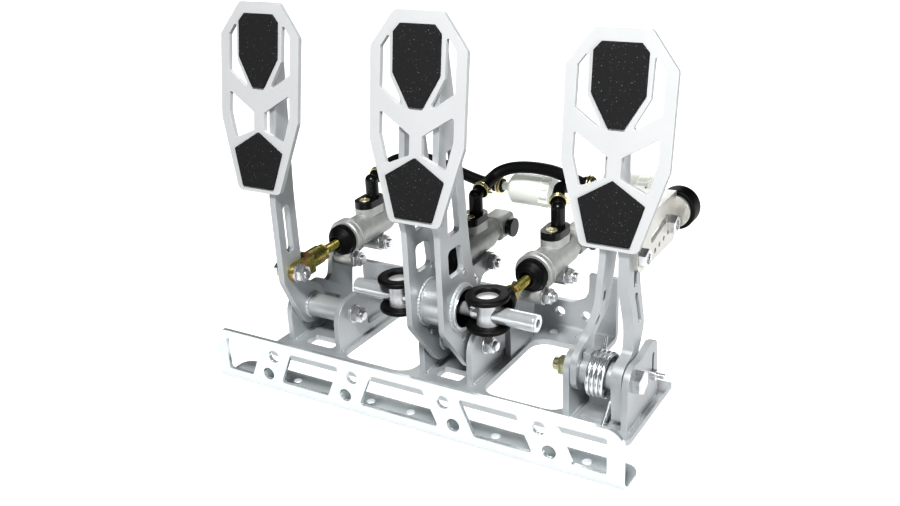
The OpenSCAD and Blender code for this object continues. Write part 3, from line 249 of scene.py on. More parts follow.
def smooth_route(points, steps=6):
    """Points of a smooth line that passes through the given ones."""
    ends = [2 * points[0] - points[1], *points, 2 * points[-1] - points[-2]]
    line = []
    for a, b, c, d in zip(ends, ends[1:], ends[2:], ends[3:]):
        for k in range(steps):
            t = k / steps
            line.append(0.5 * (2 * b + (c - a) * t + (2 * a - 5 * b + 4 * c - d) * t ** 2
                               + (3 * b - a - 3 * c + d) * t ** 3))
    return line + [points[-1]]


def tube(name, line, radius, material, body, sides=5, closed=False):
    """A round tube along a line of points in millimetres.

    The radius is on the points, because the curve's box counts theirs in metres."""
    curve = bpy.data.curves.new(name, "CURVE")
    curve.dimensions = "3D"
    curve.bevel_depth = 1
    curve.bevel_resolution = sides
    curve.use_fill_caps = not closed
    spline = curve.splines.new("POLY")
    spline.points.add(len(line) - 1)
    for point, at in zip(spline.points, line):
        point.co = (*(at * MM), 1)
        point.radius = radius * MM
    spline.use_cyclic_u = closed
    spline.use_smooth = True
    curve.materials.append(material)
    piece = bpy.data.objects.new(name, curve)
    scene.collection.objects.link(piece)
    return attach(piece, body)


outlet_ways = [Vector((-sin(t) * cos(outlet_rise), cos(t) * cos(outlet_rise), sin(outlet_rise)))
               for t in elbow_turns]
elbow_corners = [Vector((x, port_y, elbow_z)) for x in cylinder_xs]
outlet_tips = [corner + outlet_l * way for corner, way in zip(elbow_corners, outlet_ways)]
nipple_tips = [at - Vector((nipple_l, 0, 0)) for at in reservoir_at]
for node, points, tip, way, nipple in zip(hose_names, hose_points, outlet_tips, outlet_ways,
                                          nipple_tips):
    before_nipple = nipple - Vector((lead_in, 0, 0))
    line = smooth_route([tip, tip + lead_out * way, *map(Vector, points), before_nipple, nipple])
    hose = tube(node + "_tube", line, hose_r, black_rubber, "frame")
    for point in hose.data.splines[0].points:
        to_end = min((point.co.to_3d() / MM - end).length for end in (line[0], line[-1]))
        point.radius *= swell if to_end < swell_l else 1
    length = sum((b - a).length for a, b in zip(line, line[1:])) * MM
    line[0] * MM
    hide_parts(node)

# Base plate, brackets, cylinder plates, levers and tubes. Folded and cut steel sheet, welded and
# sprayed with satin silver paint. Their cut edges are slightly rounded under the paint.
nodes = frame["nodes"]
weld_gap = 0.002 * MM
flat_angle, sharp_angle = radians(0.6), radians(32)
square_on = 0.99
hex_sides = 6
crown_slope = 0.6
sheet_edge, tube_edge = 0.5, 0.4


def silver_look(place):
    mist = grain(place, 22)
    return {"Base Color": mixed(mist, (0.52, 0.545, 0.56), (0.61, 0.63, 0.64)),
            "Roughness": 0.32 + 0.14 * grain(place, 9), "Normal": relief(grain(place, 0.8), 0.02)}


silver_paint = finish("silver_paint", silver_look, metallic=0.4)


def placed(mesh, name, material, body, smooth=40):
    """Makes a piece of a finished bmesh and lets it ride on a body."""
    data = bpy.data.meshes.new(name)
    mesh.to_mesh(data)
    mesh.free()
    data.materials.append(material)
    data.shade_smooth()
    data.set_sharp_from_angle(angle=radians(smooth))
    piece = bpy.data.objects.new(name, data)
    scene.collection.objects.link(piece)
    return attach(piece, body)


def stand_for(piece, node):
    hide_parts(node)
    return piece


def welded_copy(node):
    """The solid's mesh with its triangles joined to whole faces."""
    mesh = bmesh.new()
    mesh.from_mesh(nodes[node].data)
    bmesh.ops.remove_doubles(mesh, verts=mesh.verts, dist=weld_gap)
    bmesh.ops.dissolve_limit(mesh, angle_limit=flat_angle, verts=mesh.verts, edges=mesh.edges)
    return mesh


def bevelled(mesh, edges, offset, segments=2, clamp=False):
    """Rounds edges by an offset in millimetres and returns the new vertices."""
    return bmesh.ops.bevel(mesh, geom=edges, offset=offset * MM, offset_type="OFFSET",
                           segments=segments, profile=0.5, affect="EDGES", material=-1,
                           clamp_overlap=clamp)["verts"]


def end_faces(mesh):
    """Faces across X that close off the end of a bolt or nut: nothing stands out beyond them."""
    mesh.normal_update()
    ends = []
    for face in mesh.faces:
        around = [other for edge in face.edges for other in edge.link_faces if other is not face]
        beyond = [(other.calc_center_median() - face.calc_center_median()).dot(face.normal)
                  for other in around]
        if abs(face.normal.x) > square_on and max(beyond) < weld_gap:
            ends.append(face)
    return ends


def verts_of(faces):
    return list({v for face in faces for v in face.verts})


def rounded_off(node, edge, material, crown=0, socket=0):
    """A copy of a solid with its edges rounded, in the solid's place.

    A crown chamfers the ends of a bolt or nut, and a socket sinks a hexagon into its head."""
    mesh = welded_copy(node)
    chamfer = crown * crown_slope * MM
    end_ways = (1, -1) if crown else ()
    for way in end_ways:
        ends = [face for face in end_faces(mesh) if face.normal.x * way > 0]
        bmesh.ops.translate(mesh, verts=verts_of(ends), vec=(-way * chamfer, 0, 0))
        bmesh.ops.inset_region(mesh, faces=ends, thickness=crown * MM, depth=chamfer,
                               use_boundary=True, use_even_offset=True)
        heads = [face for face in ends if len(face.edges) == hex_sides and socket]
        bmesh.ops.inset_individual(mesh, faces=heads, thickness=socket * MM, use_even_offset=True)
        sunk = bmesh.ops.extrude_discrete_faces(mesh, faces=heads)["faces"]
        bmesh.ops.translate(mesh, verts=verts_of(sunk), vec=(-way * socket * MM, 0, 0))
    sharp = [e for e in mesh.edges if e.is_manifold and e.calc_face_angle() > sharp_angle]
    bevelled(mesh, sharp, edge, clamp=True)
    piece = placed(mesh, node + "_rounded", material, nodes[node]["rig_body"])
    soften = piece.modifiers.new("flat_faces", "WEIGHTED_NORMAL")
    soften.keep_sharp = True
    return stand_for(piece, node)


for node in ("base_plate", "clutch_bracket", "brake_bracket", "throttle_bracket",
             "cylinder_plates", "clutch_arm", "brake_arm_left", "brake_arm_right", "throttle_arm",
             "throttle_strap"):
    rounded_off(node, sheet_edge, silver_paint)
for node in ("clutch_pivot_tube", "brake_pivot_tube", "throttle_sleeve"):
    rounded_off(node, tube_edge, silver_paint)

# Weld beads. Rippled seams of weld metal under the same paint, where plates meet the base
# and where tubes go through the levers.
bead_r, bead_step = 1.7, 0.65
ripple_l, ripple_low, ripple_rise = 2.6, 0.82, 0.3
base_top = 5
bracket_t = 5
bead_inset = 2
# The throttle bracket's left plate is shorter than its right one
short_back = -28
pivot_y, pivot_z = -30, 31
pin_y, pin_z = -51, 70
brake_x = 3.5
lever_in, lever_out = 11.5, 16.5
lever_faces = (brake_x - lever_out, brake_x - lever_in, brake_x + lever_in, brake_x + lever_out)
clutch_lever_right = -141.95
tube_r, pivot_tube_r = 17.5, 10
bead_out = 0.2


def bead(name, line, body, closed=False):
    """A weld seam along points that lie one bead step apart."""
    piece = tube(name, line, bead_r, silver_paint, body, sides=2, closed=closed)
    for k, point in enumerate(piece.data.splines[0].points):
        point.radius *= ripple_low + ripple_rise * abs(sin(pi * k * bead_step / ripple_l))


def ring_bead(name, x, y, z, radius, body):
    """A weld seam round a tube."""
    out = radius + bead_out
    count = round(2 * pi * out / bead_step)
    turns = [2 * pi * k / count for k in range(count)]
    line = [Vector((x, y + out * cos(t), z + out * sin(t))) for t in turns]
    bead(name, line, body, closed=True)


for node in ("clutch_bracket", "brake_bracket", "throttle_bracket"):
    low, high = (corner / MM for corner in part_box(node))
    faces = (low.x, low.x + bracket_t, high.x - bracket_t, high.x)
    for k, x in enumerate(faces):
        back = short_back if node == "throttle_bracket" and k < 2 else high.y
        count = int((back - low.y - 2 * bead_inset) / bead_step)
        line = [Vector((x, low.y + bead_inset + j * bead_step, base_top)) for j in range(count)]
        bead(f"weld_{node}_{k}", line, "frame")
for k, x in enumerate(lever_faces):
    ring_bead(f"weld_bias_tube_{k}", x, pin_y, pin_z, tube_r, "brake_pedal")
    ring_bead(f"weld_brake_pivot_{k}", x, pivot_y, pivot_z, pivot_tube_r, "brake_pedal")
ring_bead("weld_clutch_pivot", clutch_lever_right, pivot_y, pivot_z, pivot_tube_r, "clutch_pedal")

# Balance-bar tube. A turned steel tube with grooved ends, welded through both brake levers.
# It is left bright and finely brushed round. Its bore is painted near black as painted shade.
tube_half, tube_steps = 20, 64
# Inside this radius round the bar the colour is painted near black: painted shade in the bore.
bore_shade_r = 14.9
end_steps = [(tube_r - 0.5, 0), (16.6, 0), (16.3, -0.9), (15.5, -0.9), (15.2, -0.1), (14.8, -0.1),
             (14.5, -0.5)]
tube_profile = [(tube_r, tube_half - 0.5), *((r, tube_half + h) for r, h in end_steps),
                *((r, -tube_half - h) for r, h in reversed(end_steps)), (tube_r, 0.5 - tube_half)]


def brushed_look(place):
    turn = place.make("Mapping", {}, {"Vector": place, "Scale": (9, 1, 1)})
    streak = grain(turn, 5)
    bright = mixed(streak, (0.60, 0.62, 0.63), (0.78, 0.79, 0.80))
    # Inside the bore the colour is painted near black: painted shade, not the steel's own colour.
    over, up = place.along("Y") - pin_y * MM, place.along("Z") - pin_z * MM
    beyond_bore_shade = (over * over + up * up) > (bore_shade_r * MM) ** 2
    return {"Base Color": mixed(beyond_bore_shade, (0.02, 0.02, 0.02), bright),
            "Roughness": 0.24 + 0.16 * streak}


def turned(mesh, profile, seat, steps=48, closed=True):
    """Spins a profile of (radius, height) round the seat's Z axis, all in millimetres."""
    ring = [mesh.verts.new(seat @ (Vector((r, 0, h)) * MM)) for r, h in profile]
    pairs = zip(ring, ring[1:] + ring[:1]) if closed else zip(ring, ring[1:])
    edges = [mesh.edges.new(pair) for pair in pairs]
    bmesh.ops.spin(mesh, geom=ring + edges, cent=seat.translation, axis=seat.col[2].to_3d(),
                   angle=2 * pi, steps=steps, use_merge=True)


def seat_at(at, way):
    """A seat at a point in millimetres, whose Z axis points along the given way."""
    return Matrix.Translation(at * MM) @ way.to_track_quat("Z", "Y").to_matrix().to_4x4()


def cleaned(mesh):
    bmesh.ops.remove_doubles(mesh, verts=mesh.verts, dist=weld_gap)
    bmesh.ops.recalc_face_normals(mesh, faces=mesh.faces)
    return mesh


along_x, along_y = Vector((1, 0, 0)), Vector((0, 1, 0))
bar_at = Vector((brake_x, pin_y, pin_z))
tube_mesh = bmesh.new()
turned(tube_mesh, tube_profile, seat_at(bar_at, along_x), tube_steps)
brushed_steel = finish("brushed_steel", brushed_look, metallic=0.65)
stand_for(placed(cleaned(tube_mesh), "bias_tube_turned", brushed_steel, "brake_pedal"), "bias_tube")

# Pads. Cut steel sheet with windows, fixed across the tops of the levers.
# They are sprayed in a lighter silver than the levers, and each carries two grip sheets.
pad_edge = 0.6


def pad_look(place):
    mist = grain(place, 30)
    return {"Base Color": mixed(mist, (0.70, 0.715, 0.72), (0.77, 0.78, 0.785)),
            "Roughness": 0.36 + 0.12 * grain(place, 8), "Normal": relief(grain(place, 0.8), 0.015)}


pad_paint = finish("pad_paint", pad_look, metallic=0.1)
for node in ("clutch_pad", "brake_pad", "throttle_pad"):
    rounded_off(node, pad_edge, pad_paint)

# Grip sheets. Black abrasive sheet glued on the pads, gritty and with a few bright grains.
# The grit is real relief: the front face is cut to a fine net and pressed in at random.
net_gap = 1.3
grit_depth, grit_size = 0.3, 0.9
facing = 0.9
pad_tilts = {"clutch_grips": radians(10), "brake_grips": radians(8.5), "throttle_grips": radians(8)}


def grip_look(place):
    sparkle = grain(place, 1.0, 1) > 0.73
    return {"Base Color": mixed(sparkle, (0.032, 0.032, 0.033), (0.26, 0.26, 0.27)),
            "Roughness": 0.8 - 0.35 * sparkle, "Normal": relief(grain(place, 0.6), 0.25)}


def whole(mesh):
    return mesh.verts[:] + mesh.edges[:] + mesh.faces[:]


grip_sheet = finish("grip_sheet", grip_look, specular_ior_level=0.25)
for node, tilt in pad_tilts.items():
    mesh = welded_copy(node)
    low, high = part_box(node)
    along = Vector((0, sin(tilt), cos(tilt)))
    front = Vector((0, -cos(tilt), sin(tilt)))
    spans = [(along_x, low.x, high.x), (along, low.dot(along), high.dot(along))]
    for way, start, stop in spans:
        for k in range(1, int((stop - start) / (net_gap * MM))):
            bmesh.ops.bisect_plane(mesh, geom=whole(mesh), plane_no=way,
                                   plane_co=way * (start + k * net_gap * MM))
    mesh.normal_update()
    inner = [v for v in mesh.verts if all(f.normal.dot(front) > facing for f in v.link_faces)]
    for v in inner:
        v.co -= front * grit_depth * MM * abs(noise.noise(v.co / (grit_size * MM)))
    stand_for(placed(mesh, node + "_grit", grip_sheet, nodes[node]["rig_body"], smooth=80), node)

# Heel rail. Bent and pierced sheet steel, bright zinc plated, screwed to the floor by its foot.
# The plating is almost a mirror, with faint streaks and a cool tint, and duller on the foot.
rail_edge = 0.4
foot_top = 4


def zinc_look(place):
    foot = place.along("Z") < foot_top * MM
    return {"Base Color": mixed(grain(place, 14), (0.72, 0.79, 0.81), (0.88, 0.90, 0.91)),
            "Roughness": 0.1 + 0.16 * grain(place, 5) + 0.3 * foot,
            "Normal": relief(grain(place, 3), 0.01)}


bright_zinc = finish("bright_zinc", zinc_look, metallic=0.62)
rounded_off("heel_rail", rail_edge, bright_zinc)

# Cylinders. Sand-cast aluminium bodies with machined mouths, left bare and mottled.
# Each is held on its welded plate by two cross bolts through the lugs below it.
cast_edge = 0.5


def cast_look(place):
    cloud = grain(place, 7)
    grit = grain(place, 1.3)
    return {"Base Color": mixed(cloud, (0.46, 0.465, 0.45), (0.72, 0.73, 0.71)),
            "Roughness": 0.36 + 0.22 * grit, "Normal": relief(grit, 0.12)}


cast_alloy = finish("cast_alloy", cast_look, metallic=0.4)
for node in ("clutch_cylinder", "brake_cylinder_left", "brake_cylinder_right"):
    rounded_off(node, cast_edge, cast_alloy)

# Boots. Moulded rubber collars pressed into the cylinder mouths, domed towards the push-rod,
# with a step halfway and a lip that wipes the rod.
cylinder_y, cylinder_z = 24, 72
boot_profile = [(5.4, -8.5), (5.4, -12.6), (5.8, -13), (6.8, -13), (7.3, -12.4), (7.6, -10.4),
                (8.2, -9.8), (9.4, -9.4), (10.2, -8.6), (10.5, -7.8), (11.2, -7.4), (12.4, -6.6),
                (13.1, -5.4), (13.3, -4), (13.3, 8), (11.3, 8), (11.3, -4), (7, -8)]
boot_mesh = bmesh.new()
for x in cylinder_xs:
    turned(boot_mesh, boot_profile, seat_at(Vector((x, cylinder_y, cylinder_z)), along_y))
boots = placed(cleaned(boot_mesh), "cylinder_boots_moulded", black_rubber, "frame", smooth=50)
stand_for(boots, "cylinder_boots")

# Elbows and plugs. Moulded black plastic, glossy. An elbow has an oval flange that one screw holds
# on its cylinder, and a plug is screwed into the side of the cylinder's end block.
elbow_edge, plug_edge = 0.8, 0.5


def plastic_look(place):
    return {"Base Color": mixed(grain(place, 8), (0.008, 0.008, 0.009), (0.016, 0.016, 0.017)),
            "Roughness": 0.2 + 0.18 * grain(place, 4), "Normal": relief(grain(place, 0.5), 0.02)}


black_plastic = finish("black_plastic", plastic_look)
rounded_off("port_elbows", elbow_edge, black_plastic)
rounded_off("end_plugs", plug_edge, black_plastic)

# Elbow screws. Brass pan heads with a cross recess, one screwed through each flange.
# One head is made at the origin, cut crosswise and sunk, and then copied to each flange.
screw_r, cross_w, cross_l, cross_deep = 5, 1.5, 3.4, 1.6
screw_y, screw_top, screw_turn = 59, 98, radians(20)
flat_r = 0.8 * screw_r
screw_sides = 32
pan_profile = [(flat_r, 0), (0.94 * screw_r, -0.25), (screw_r, -0.8), (screw_r, -3)]


def brass_look(place):
    return {"Base Color": mixed(grain(place, 2), (0.80, 0.74, 0.48), (0.94, 0.91, 0.70)),
            "Roughness": 0.28 + 0.2 * grain(place, 1)}


def verts_in(geom):
    return [item for item in geom if isinstance(item, bmesh.types.BMVert)]


screw_mesh = bmesh.new()
bmesh.ops.create_circle(screw_mesh, cap_ends=True, segments=screw_sides, radius=flat_r * MM)
for way in (along_x, along_y):
    for cut_at in (-cross_l, -cross_w / 2, cross_w / 2, cross_l):
        bmesh.ops.bisect_plane(screw_mesh, geom=whole(screw_mesh), plane_no=way,
                               plane_co=way * cut_at * MM)
slots = []
for face in screw_mesh.faces:
    middle = face.calc_center_median() / MM
    near, far = sorted((abs(middle.x), abs(middle.y)))
    if near < cross_w / 2 and far < cross_l:
        slots.append(face)
sunk = verts_in(bmesh.ops.extrude_face_region(screw_mesh, geom=slots)["geom"])
bmesh.ops.translate(screw_mesh, verts=sunk, vec=(0, 0, -cross_deep * MM))
bmesh.ops.delete(screw_mesh, geom=slots, context="FACES")
turned(screw_mesh, pan_profile, Matrix.Identity(4), screw_sides, closed=False)
first_seat = Matrix.Translation(Vector((cylinder_xs[0], screw_y, screw_top)) * MM)
bmesh.ops.transform(screw_mesh, verts=screw_mesh.verts,
                    matrix=first_seat @ Matrix.Rotation(screw_turn, 4, "Z"))
first_screw = whole(screw_mesh)
for x in cylinder_xs[1:]:
    copied = verts_in(bmesh.ops.duplicate(screw_mesh, geom=first_screw)["geom"])
    bmesh.ops.translate(screw_mesh, verts=copied, vec=((x - cylinder_xs[0]) * MM, 0, 0))
brass_screw = finish("brass_screw", brass_look, metallic=0.7)
screws = placed(cleaned(screw_mesh), "elbow_screws_cross", brass_screw, "frame", smooth=30)
stand_for(screws, "elbow_screws")

# Fasteners. Zinc plated steel bolts with chamfered heads, and lock nuts on washers.
# The nut on the throttle's pivot is yellow plated.
yellow_from, yellow_to = 90, 118
bolt_edge, bolt_crown, bolt_socket, stop_crown = 0.3, 0.9, 2, 0.4
lug_ys, lug_z, lug_outs = (25, 68), 54.5, (9, 14, 9)
bolt_r, throttle_bolt_r = 4, 4.3
# Faces of the brackets and of the clutch clevis that the nuts are tightened against
clutch_face, brake_face, throttle_face, clevis_face = -98.95, 27.5, 108.6, -136.55
throttle_y, throttle_z = -50, 40.5
# Place, side that the nut is on, and bolt radius
nut_seats = {
    "cylinder_nuts": [((x + out, y, lug_z), 1, bolt_r) for y in lug_ys
                      for x, out in zip(cylinder_xs, lug_outs)],
    "pivot_nuts": [((clutch_face, pivot_y, pivot_z), 1, bolt_r),
                   ((brake_face, pivot_y, pivot_z), 1, bolt_r),
                   ((throttle_face, throttle_y, throttle_z), -1, throttle_bolt_r)],
    "clutch_clevis_nut": [((clevis_face, pin_y, pin_z), 1, bolt_r)],
}
washer_t, washer_edge, washer_out = 1.6, 0.3, 2
# Sizes of a nut in bolt radii
nut_rise, nut_flats, nut_soft = 1.6, 3.25, 0.14
collar_out, collar_mid, collar_in = 1.5, 1.45, 1.2
# Heights of its hexagon and its collar in heights of the nut
hex_rise, collar_from, collar_rise = 0.82, 0.8, 0.14
nut_steps = 40


def plated_look(place):
    grey = mixed(grain(place, 4), (0.58, 0.59, 0.60), (0.82, 0.83, 0.84))
    yellow = mixed(grain(place, 4), (0.55, 0.52, 0.30), (0.84, 0.81, 0.58))
    right = place.along("X")
    low_nut = (right > yellow_from * MM) * (right < yellow_to * MM)
    return {"Base Color": mixed(low_nut, grey, yellow), "Roughness": 0.2 + 0.2 * grain(place, 2)}


def prism(mesh, seat, sides, radius, low, height):
    """A straight prism round the seat's Z axis, all in millimetres."""
    verts = bmesh.ops.create_cone(mesh, cap_ends=True, segments=sides, radius1=radius * MM,
                                  radius2=radius * MM, depth=height * MM)["verts"]
    lift = Matrix.Translation((0, 0, (low + height / 2) * MM))
    bmesh.ops.transform(mesh, verts=verts, matrix=seat @ lift)
    return verts


def edges_of(verts):
    return list({e for v in verts for e in v.link_edges})


zinc_fastener = finish("zinc_fastener", plated_look, metallic=0.92)
for node in ("cylinder_bolts", "stop_bracket_bolts", "clutch_clevis_bolt"):
    rounded_off(node, bolt_edge, zinc_fastener, crown=bolt_crown, socket=bolt_socket)
rounded_off("pivot_bolts", bolt_edge, zinc_fastener, crown=bolt_crown)
rounded_off("stop_screw", bolt_edge, zinc_fastener, crown=stop_crown)
for node, seats in nut_seats.items():
    mesh = bmesh.new()
    for at, side, r in seats:
        nut_seat = seat_at(Vector(at), side * along_x)
        nut_h, rim = nut_rise * r, washer_out * r
        nut_top = washer_t + nut_h
        turned(mesh, [(r, 0), (rim, 0), (rim, washer_t - washer_edge),
                      (rim - washer_edge, washer_t), (r, washer_t)], nut_seat, nut_steps)
        corner_r = nut_flats * r / 3 ** 0.5
        hexagon = prism(mesh, nut_seat, hex_sides, corner_r, washer_t, hex_rise * nut_h)
        rims = [e for e in edges_of(hexagon)
                if len({round(v.co.x / MM, 2) for v in e.verts}) == 1]
        bevelled(mesh, rims, nut_soft * r)
        collar = washer_t + collar_from * nut_h
        turned(mesh, [(r, collar), (collar_out * r, collar),
                      (collar_mid * r, collar + collar_rise * nut_h), (collar_in * r, nut_top),
                      (r, nut_top)], nut_seat, nut_steps)
    bmesh.ops.recalc_face_normals(mesh, faces=mesh.faces)
    stand_for(placed(mesh, node + "_turned", zinc_fastener, nodes[node]["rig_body"], 30), node)

# Pistons. Turned steel plugs that slide in the cylinders and stay hidden in them.
# Their solids have the right shape, so they only get the fasteners' plating.


def coated(node, material):
    nodes[node].data.materials.clear()
    nodes[node].data.materials.append(material)


for node in ("clutch_piston", "piston_left", "piston_right"):
    coated(node, zinc_fastener)

# Lever screws. Small button heads on the brake levers, above and below the balance-bar tube.
# They are zinc plated too and lock the tube in the levers.
lever_screw_at = ((-46, 97.5), (-51, 44))
button = [(0, 0.2), (1, 0.2), (1.1, 0.9), (1.9, 0.8), (2.2, 0.3), (2.2, -0.5)]
button_steps = 24
lever_mesh = bmesh.new()
for x in (lever_faces[1], lever_faces[3]):
    for y, z in lever_screw_at:
        turned(lever_mesh, button, seat_at(Vector((x, y, z)), along_x), button_steps, closed=False)
lever_screws = placed(cleaned(lever_mesh), "lever_screws", zinc_fastener, "brake_pedal", smooth=30)

# Clutch clevis and push-rods. Yellow plated steel: the passivation drifts from gold to copper and
# olive. The rods are threaded, with a locknut against the clevis.
rod_r, rod_l, ball_r = 4, 89, 5
rod_pitch, rod_thread = 1.25, 0.4
rod_from, thread_off = 21, 12
rod_tilt = asin((cylinder_z - pin_z) / rod_l)
rod_way = Vector((0, cos(rod_tilt), sin(rod_tilt)))
lock_places = {"clutch_pushrod": 38, "pushrod_left": 30, "pushrod_right": 30}
lock_r, lock_h, lock_edge = 2 * rod_r, 6, 0.5
clevis_edge = 0.6
# The ball's half circle in steps, from where it meets the rod
ball_steps, ball_from = 16, 5


def gold_look(place):
    olive = mixed(grain(place, 7), (0.20, 0.19, 0.03), (0.66, 0.60, 0.24))
    blush = 6 * grain(place, 13) - 3.1
    return {"Base Color": mixed(blush, olive, (0.82, 0.42, 0.24)),
            "Roughness": 0.2 + 0.2 * grain(place, 3)}


def thread(mesh, seat, start, length, radius, pitch, depth, steps=20):
    """A helical ridge round the seat's Z axis, whose crest has the given radius."""
    turns = int(length / pitch)
    ridge = [(start, radius - depth), (start + pitch / 2, radius), (start + pitch, radius - depth)]
    line = [mesh.verts.new(seat @ (Vector((r, 0, h)) * MM)) for h, r in ridge]
    edges = [mesh.edges.new(pair) for pair in zip(line, line[1:])]
    axis = seat.col[2].to_3d()
    bmesh.ops.spin(mesh, geom=line + edges, cent=seat.translation, axis=axis,
                   dvec=axis * pitch / steps * MM, angle=2 * pi * turns, steps=steps * turns)


yellow_zinc = finish("yellow_zinc", gold_look, metallic=0.85)
rounded_off("clutch_clevis", clevis_edge, yellow_zinc)
core_r = rod_r - rod_thread
ball_turns = [pi * k / ball_steps for k in range(ball_from, ball_steps + 1)]
ball_profile = [(ball_r * sin(t), rod_l - ball_r * cos(t)) for t in ball_turns]
rod_profile = [(0, rod_from), (core_r, rod_from), (core_r, rod_l - ball_r), *ball_profile]
for x, (node, lock_at) in zip(cylinder_xs, lock_places.items()):
    mesh = bmesh.new()
    rod_seat = seat_at(Vector((x, pin_y, pin_z)), rod_way)
    turned(mesh, rod_profile, rod_seat, closed=False)
    thread(mesh, rod_seat, lock_at, rod_l - lock_at - thread_off, rod_r, rod_pitch, rod_thread)
    lock = prism(mesh, rod_seat, hex_sides, lock_r, lock_at, lock_h)
    bevelled(mesh, edges_of(lock), lock_edge)
    piece = placed(cleaned(mesh), node + "_threaded", yellow_zinc, nodes[node]["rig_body"], 30)
    stand_for(piece, node)

# Hose clamps. Spring clips of yellow plated wire: two turns round each end of a hose,
# with two ears that are squeezed to slip the clip on.
wire_r, wire_sides = 0.9, 10
clamp_r = hose_r * swell + wire_r / 2
clamp_steps = 36
turn_places, ear_place = (1.8, 4.4), 3.1
ear_l, ear_out, ear_side = 4, 2, 1.6
wire_turns = [2 * pi * k / wire_sides for k in range(wire_sides)]
wire_profile = [(clamp_r + wire_r * cos(t), wire_r * sin(t)) for t in wire_turns]
clamp_seats = [*zip(outlet_tips, outlet_ways), *((tip, -along_x) for tip in nipple_tips)]


def clamp_look(place):
    return {"Base Color": mixed(grain(place, 3), (0.78, 0.70, 0.34), (0.95, 0.90, 0.62)),
            "Roughness": 0.22 + 0.15 * grain(place, 2)}


clamp_mesh = bmesh.new()
for tip, way in clamp_seats:
    for offset in turn_places:
        turned(clamp_mesh, wire_profile, seat_at(tip + offset * way, way), clamp_steps)
    for side in (-1, 1):
        lean = Matrix.Translation(Vector((-clamp_r - ear_out, side * ear_side, 0)) * MM)
        ear_seat = seat_at(tip + ear_place * way, way) @ lean @ Matrix.Rotation(pi / 2, 4, "Y")
        prism(clamp_mesh, ear_seat, wire_sides, wire_r, -ear_l / 2, ear_l)
clamp_wire = finish("clamp_wire", clamp_look, metallic=1)
stand_for(placed(cleaned(clamp_mesh), "hose_clamps_wire", clamp_wire, "frame"), "hose_clamps")

# Reservoirs. Small blown bottles of milky plastic with ribbed screw caps.
# They are held only by the hoses pushed on their nipples. A weak glow stands for the light in them.
bottle_edge, cap_edge = 0.9, 0.35


def milky_look(place):
    milk_and_glow = mixed(grain(place, 14), (0.86, 0.89, 0.82), (0.92, 0.94, 0.89))
    # The milk colour also feeds the emission: a painted glow for light in the bottles.
    return {"Base Color": milk_and_glow, "Emission Color": milk_and_glow, "Roughness": 0.22 + 0.12 * grain(place, 5)}


milky_plastic = finish("milky_plastic", milky_look, emission_strength=0.22)
rounded_off("reservoirs", bottle_edge, milky_plastic)
rounded_off("reservoir_caps", cap_edge, milky_plastic)

# Clevises of the balance bar. Blackened forged steel: two thick round heads over the trunnion,
# joined by a tapered neck that takes the push-rod. The bar's bearing in its tube is painted
# the same black as painted shade inside the tube.
head_t, head_up, head_down = 4.5, 11.7, 7.5
clevis_r, trunnion_r = 17, 9
bore_gap = 0.15
bridge_y, bridge_l = 20, 10
# Height of each head's underside, and how far its arm comes towards the neck
heads = ((head_up, -4.5), (-head_down - head_t, 0.5))
arm_w, arm_from, arm_short, arm_taper, arm_soft = 22, 11, 4, 0.66, 2
arm_l = bridge_y + bridge_l - arm_short - arm_from
arm_middle = arm_from + arm_l / 2
block_w, block_l, block_h, block_soft = 14.5, 6, 22, 2.4
head_steps, neck_steps = 56, 40
neck_bore = rod_r + bore_gap
neck_end = bridge_y + bridge_l
neck = [(neck_bore, bridge_y), (10, bridge_y), (11, bridge_y + 1.5), (10.6, bridge_y + 5),
        (9, neck_end - 1), (8, neck_end), (neck_bore, neck_end)]


def oxide_and_shade_look(place):
    return {"Base Color": mixed(grain(place, 7), (0.010, 0.010, 0.010), (0.022, 0.021, 0.020)),
            "Roughness": 0.38 + 0.2 * grain(place, 3), "Normal": relief(grain(place, 0.6), 0.03)}


def rounded_ring(inner, outer, low, high, soft=2, hard=0.6, steps=6):
    """Profile of a ring with soft outer corners and hard inner ones."""
    turns = [pi / 2 * k / steps for k in range(steps + 1)]
    upper = [(outer - soft + soft * cos(t), high - soft + soft * sin(t)) for t in turns]
    lower = [(outer - soft + soft * sin(t), low + soft - soft * cos(t)) for t in turns]
    return [(inner, low + hard), (inner + hard, low), *lower, *upper, (inner + hard, high),
            (inner, high - hard)]


def slab(mesh, size, middle):
    """A block with its size and middle in millimetres."""
    verts = bmesh.ops.create_cube(mesh, size=1)["verts"]
    bmesh.ops.scale(mesh, verts=verts, vec=Vector(size) * MM)
    bmesh.ops.translate(mesh, verts=verts, vec=Vector(middle) * MM)
    return verts


def settled(mesh, block, edge, seat):
    """Rounds a block's edges and moves it to its seat."""
    fresh = bevelled(mesh, edges_of(block), edge, segments=3)
    bmesh.ops.transform(mesh, verts=[v for v in fresh if v.is_valid], matrix=seat)


black_oxide = finish("black_oxide", oxide_and_shade_look, metallic=0.5)
